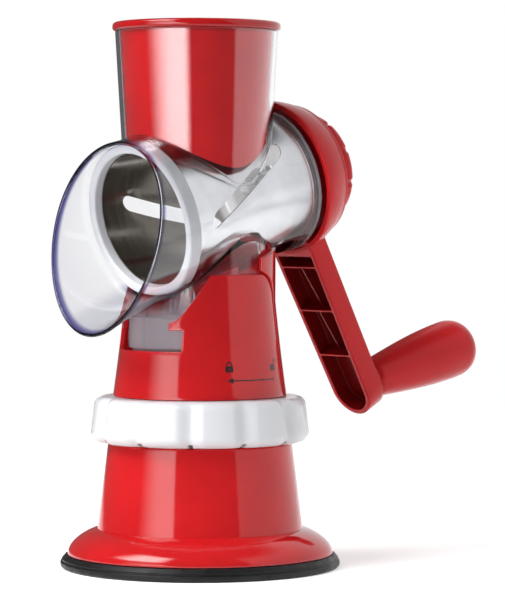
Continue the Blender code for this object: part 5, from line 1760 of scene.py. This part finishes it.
class Sky(Nodes):
    """World light by direction, read in the camera's heading at rest.

    Bearing is the angle to the right of the way from the cutter to the camera, and height the
    angle above level, both in degrees.
    """

    def __init__(self, heading: float) -> None:
        """Starts the world and works out bearing and height of each direction."""
        world = bpy.data.worlds.new("surround")
        bpy.context.scene.world = world
        world.use_nodes = True
        super().__init__(world.node_tree)
        self.nodes.clear()
        way = self.nodes.new("ShaderNodeTexCoord").outputs["Generated"]
        a = math.radians(heading)
        ahead = self.vector("DOT_PRODUCT", way, (math.sin(a), -math.cos(a), 0.0))
        aside = self.vector("DOT_PRODUCT", way, (math.cos(a), math.sin(a), 0.0))
        up = self.vector("DOT_PRODUCT", way, (0.0, 0.0, 1.0))
        self.bearing = self.math("DEGREES", self.math("ARCTAN2", aside, ahead))
        self.height = self.math("DEGREES", self.math("ARCSINE", up))

    def rise(self, start: float, end: float, low: float = 0.0, high: float = 1.0) -> Socket:
        """Smooth step with height, in degrees."""
        return self.step(self.height, start, end, low, high)

    def gathered(self, operation: str, *values: Socket | float) -> Socket:
        """Sum or product of several values."""
        result = values[0]
        for value in values[1:]:
            result = self.math(operation, result, value)
        return result

    def finish(self, glow: Socket) -> None:
        """White to the camera, straight or through clear plastic, and the glow to all other rays."""
        path = self.nodes.new("ShaderNodeLightPath").outputs
        turned = self.math("ADD", path["Glossy Depth"], path["Diffuse Depth"])
        straight = self.math("LESS_THAN", turned, 0.5)
        through = self.math("MULTIPLY", path["Is Transmission Ray"], straight)
        seen = self.math("MAXIMUM", path["Is Camera Ray"], through)
        level = self.math("MULTIPLY_ADD", glow, self.math("SUBTRACT", 1.0, seen), seen)
        back = self.node("Background", {"Color": (1.0, 1.0, 1.0, 1.0), "Strength": level})
        self.fill(self.nodes.new("ShaderNodeOutputWorld"), {"Surface": back})


@dataclass
class Studio:
    """Camera as in the photograph, a tall soft key at its left, a white wall at its right, a floor."""

    eye: Triple = (1.12102, -0.93068, 0.178)
    way: Triple = (-0.7577, 0.65178, -0.03293)
    lens: float = 180.6
    heading: float = 49.3
    key: float = 4.0
    low_key: float = 7.0
    mid_key: float = 1.2
    high_key: float = 11.5
    wall: float = 1.0
    shade: float = 0.13
    floor_glow: float = 0.46

    def camera(self) -> None:
        """Makes the camera."""
        data = bpy.data.cameras.new("camera")
        data.lens, data.sensor_width = self.lens, 36.0
        data.clip_start, data.clip_end = 0.05, 20.0
        thing = bpy.data.objects.new("camera", data)
        thing.location = self.eye
        thing.rotation_euler = Vector(self.way).to_track_quat("-Z", "Y").to_euler()
        bpy.context.scene.collection.objects.link(thing)
        bpy.context.scene.camera = thing

    def surround(self) -> None:
        """Light of the room: key with a soft left and a crisp right side, wall and shade between."""
        sky = Sky(self.heading)
        rise = sky.rise
        place = sky.math("ADD", sky.bearing, rise(-6.0, 9.0, 0.0, 15.5))
        level = sky.gathered("ADD", rise(-2.0, 6.0, self.low_key, self.key),
                             rise(11.0, 16.0, 0.0, self.mid_key - self.key),
                             rise(30.0, 38.0, 0.0, self.high_key - self.mid_key))
        high = rise(20.0, 36.0, 0.0, -22.0)
        left = sky.math("ADD", rise(-2.0, 6.0, -78.0, -64.0), high)
        full = sky.math("ADD", rise(-2.0, 6.0, -32.0, -30.0), high)
        soft = sky.math("ADD", rise(-4.0, 4.0, -18.0, -15.5), rise(16.0, 26.0, 0.0, -16.0))
        trail = rise(-4.0, 4.0, -4.5, -12.0)
        key = sky.gathered("MULTIPLY", level, sky.step(place, left, full),
                           sky.step(place, soft, trail, 1.0, 0.0), rise(-8.5, -4.5, 0.3, 1.0),
                           rise(-18.0, -10.0), rise(56.0, 66.0, 1.0, 0.0))
        wall = sky.gathered("MULTIPLY", self.wall, sky.step(place, 59.0, 62.0),
                            rise(-4.0, 6.0, 1.2, 1.0), rise(-16.0, -8.0, 0.45, 1.0),
                            rise(46.0, 66.0, 1.0, 0.1))
        sky.finish(sky.math("MAXIMUM", sky.math("ADD", key, wall), self.shade))

    def floor(self) -> None:
        """Pale round floor that fades into the white surround and keeps the contact shadow."""
        t = around(96).T
        radii = np.array([[0.0], [0.3], [0.8], [1.6]])
        points = np.stack([radii * np.sin(t), -radii * np.cos(t), 0.0 * radii * t - 0.00005], -1)
        thing = solid("floor", grid(points, False, True))
        g = Graph("floor")
        light = g.node("LightPath", {}, "Is Diffuse Ray")
        thing.data.materials.append(g.set(
            Base_Color=(0.9, 0.9, 0.9, 1.0), Roughness=0.9, Specular_IOR_Level=0.0,
            Emission_Color=(1.0, 1.0, 1.0, 1.0),
            Emission_Strength=g.math("MULTIPLY_ADD", light, -self.floor_glow, self.floor_glow),
            Alpha=g.step(g.vector("LENGTH", g.coords), 0.30, 1.1, 1.0, 0.0)))

    def build(self) -> None:
        """Makes the camera, the light and the floor."""
        self.camera()
        self.surround()
        self.floor()
        bpy.context.scene.view_settings.view_transform = "Standard"


def main() -> None:
    """Builds every sub-assembly in order."""
    logging.basicConfig(level=logging.INFO, format="%(message)s")
    shown = dict(frame["nodes"])
    for kind in (Studio, Foot, LockRing, UpperStand, LockMarks, Housing, Pusher, Drum, Crank):
        kind().build()
    dress_kept({name: node for name, node in shown.items() if name not in REPLACED})


if __name__ == "__main__":
    main()
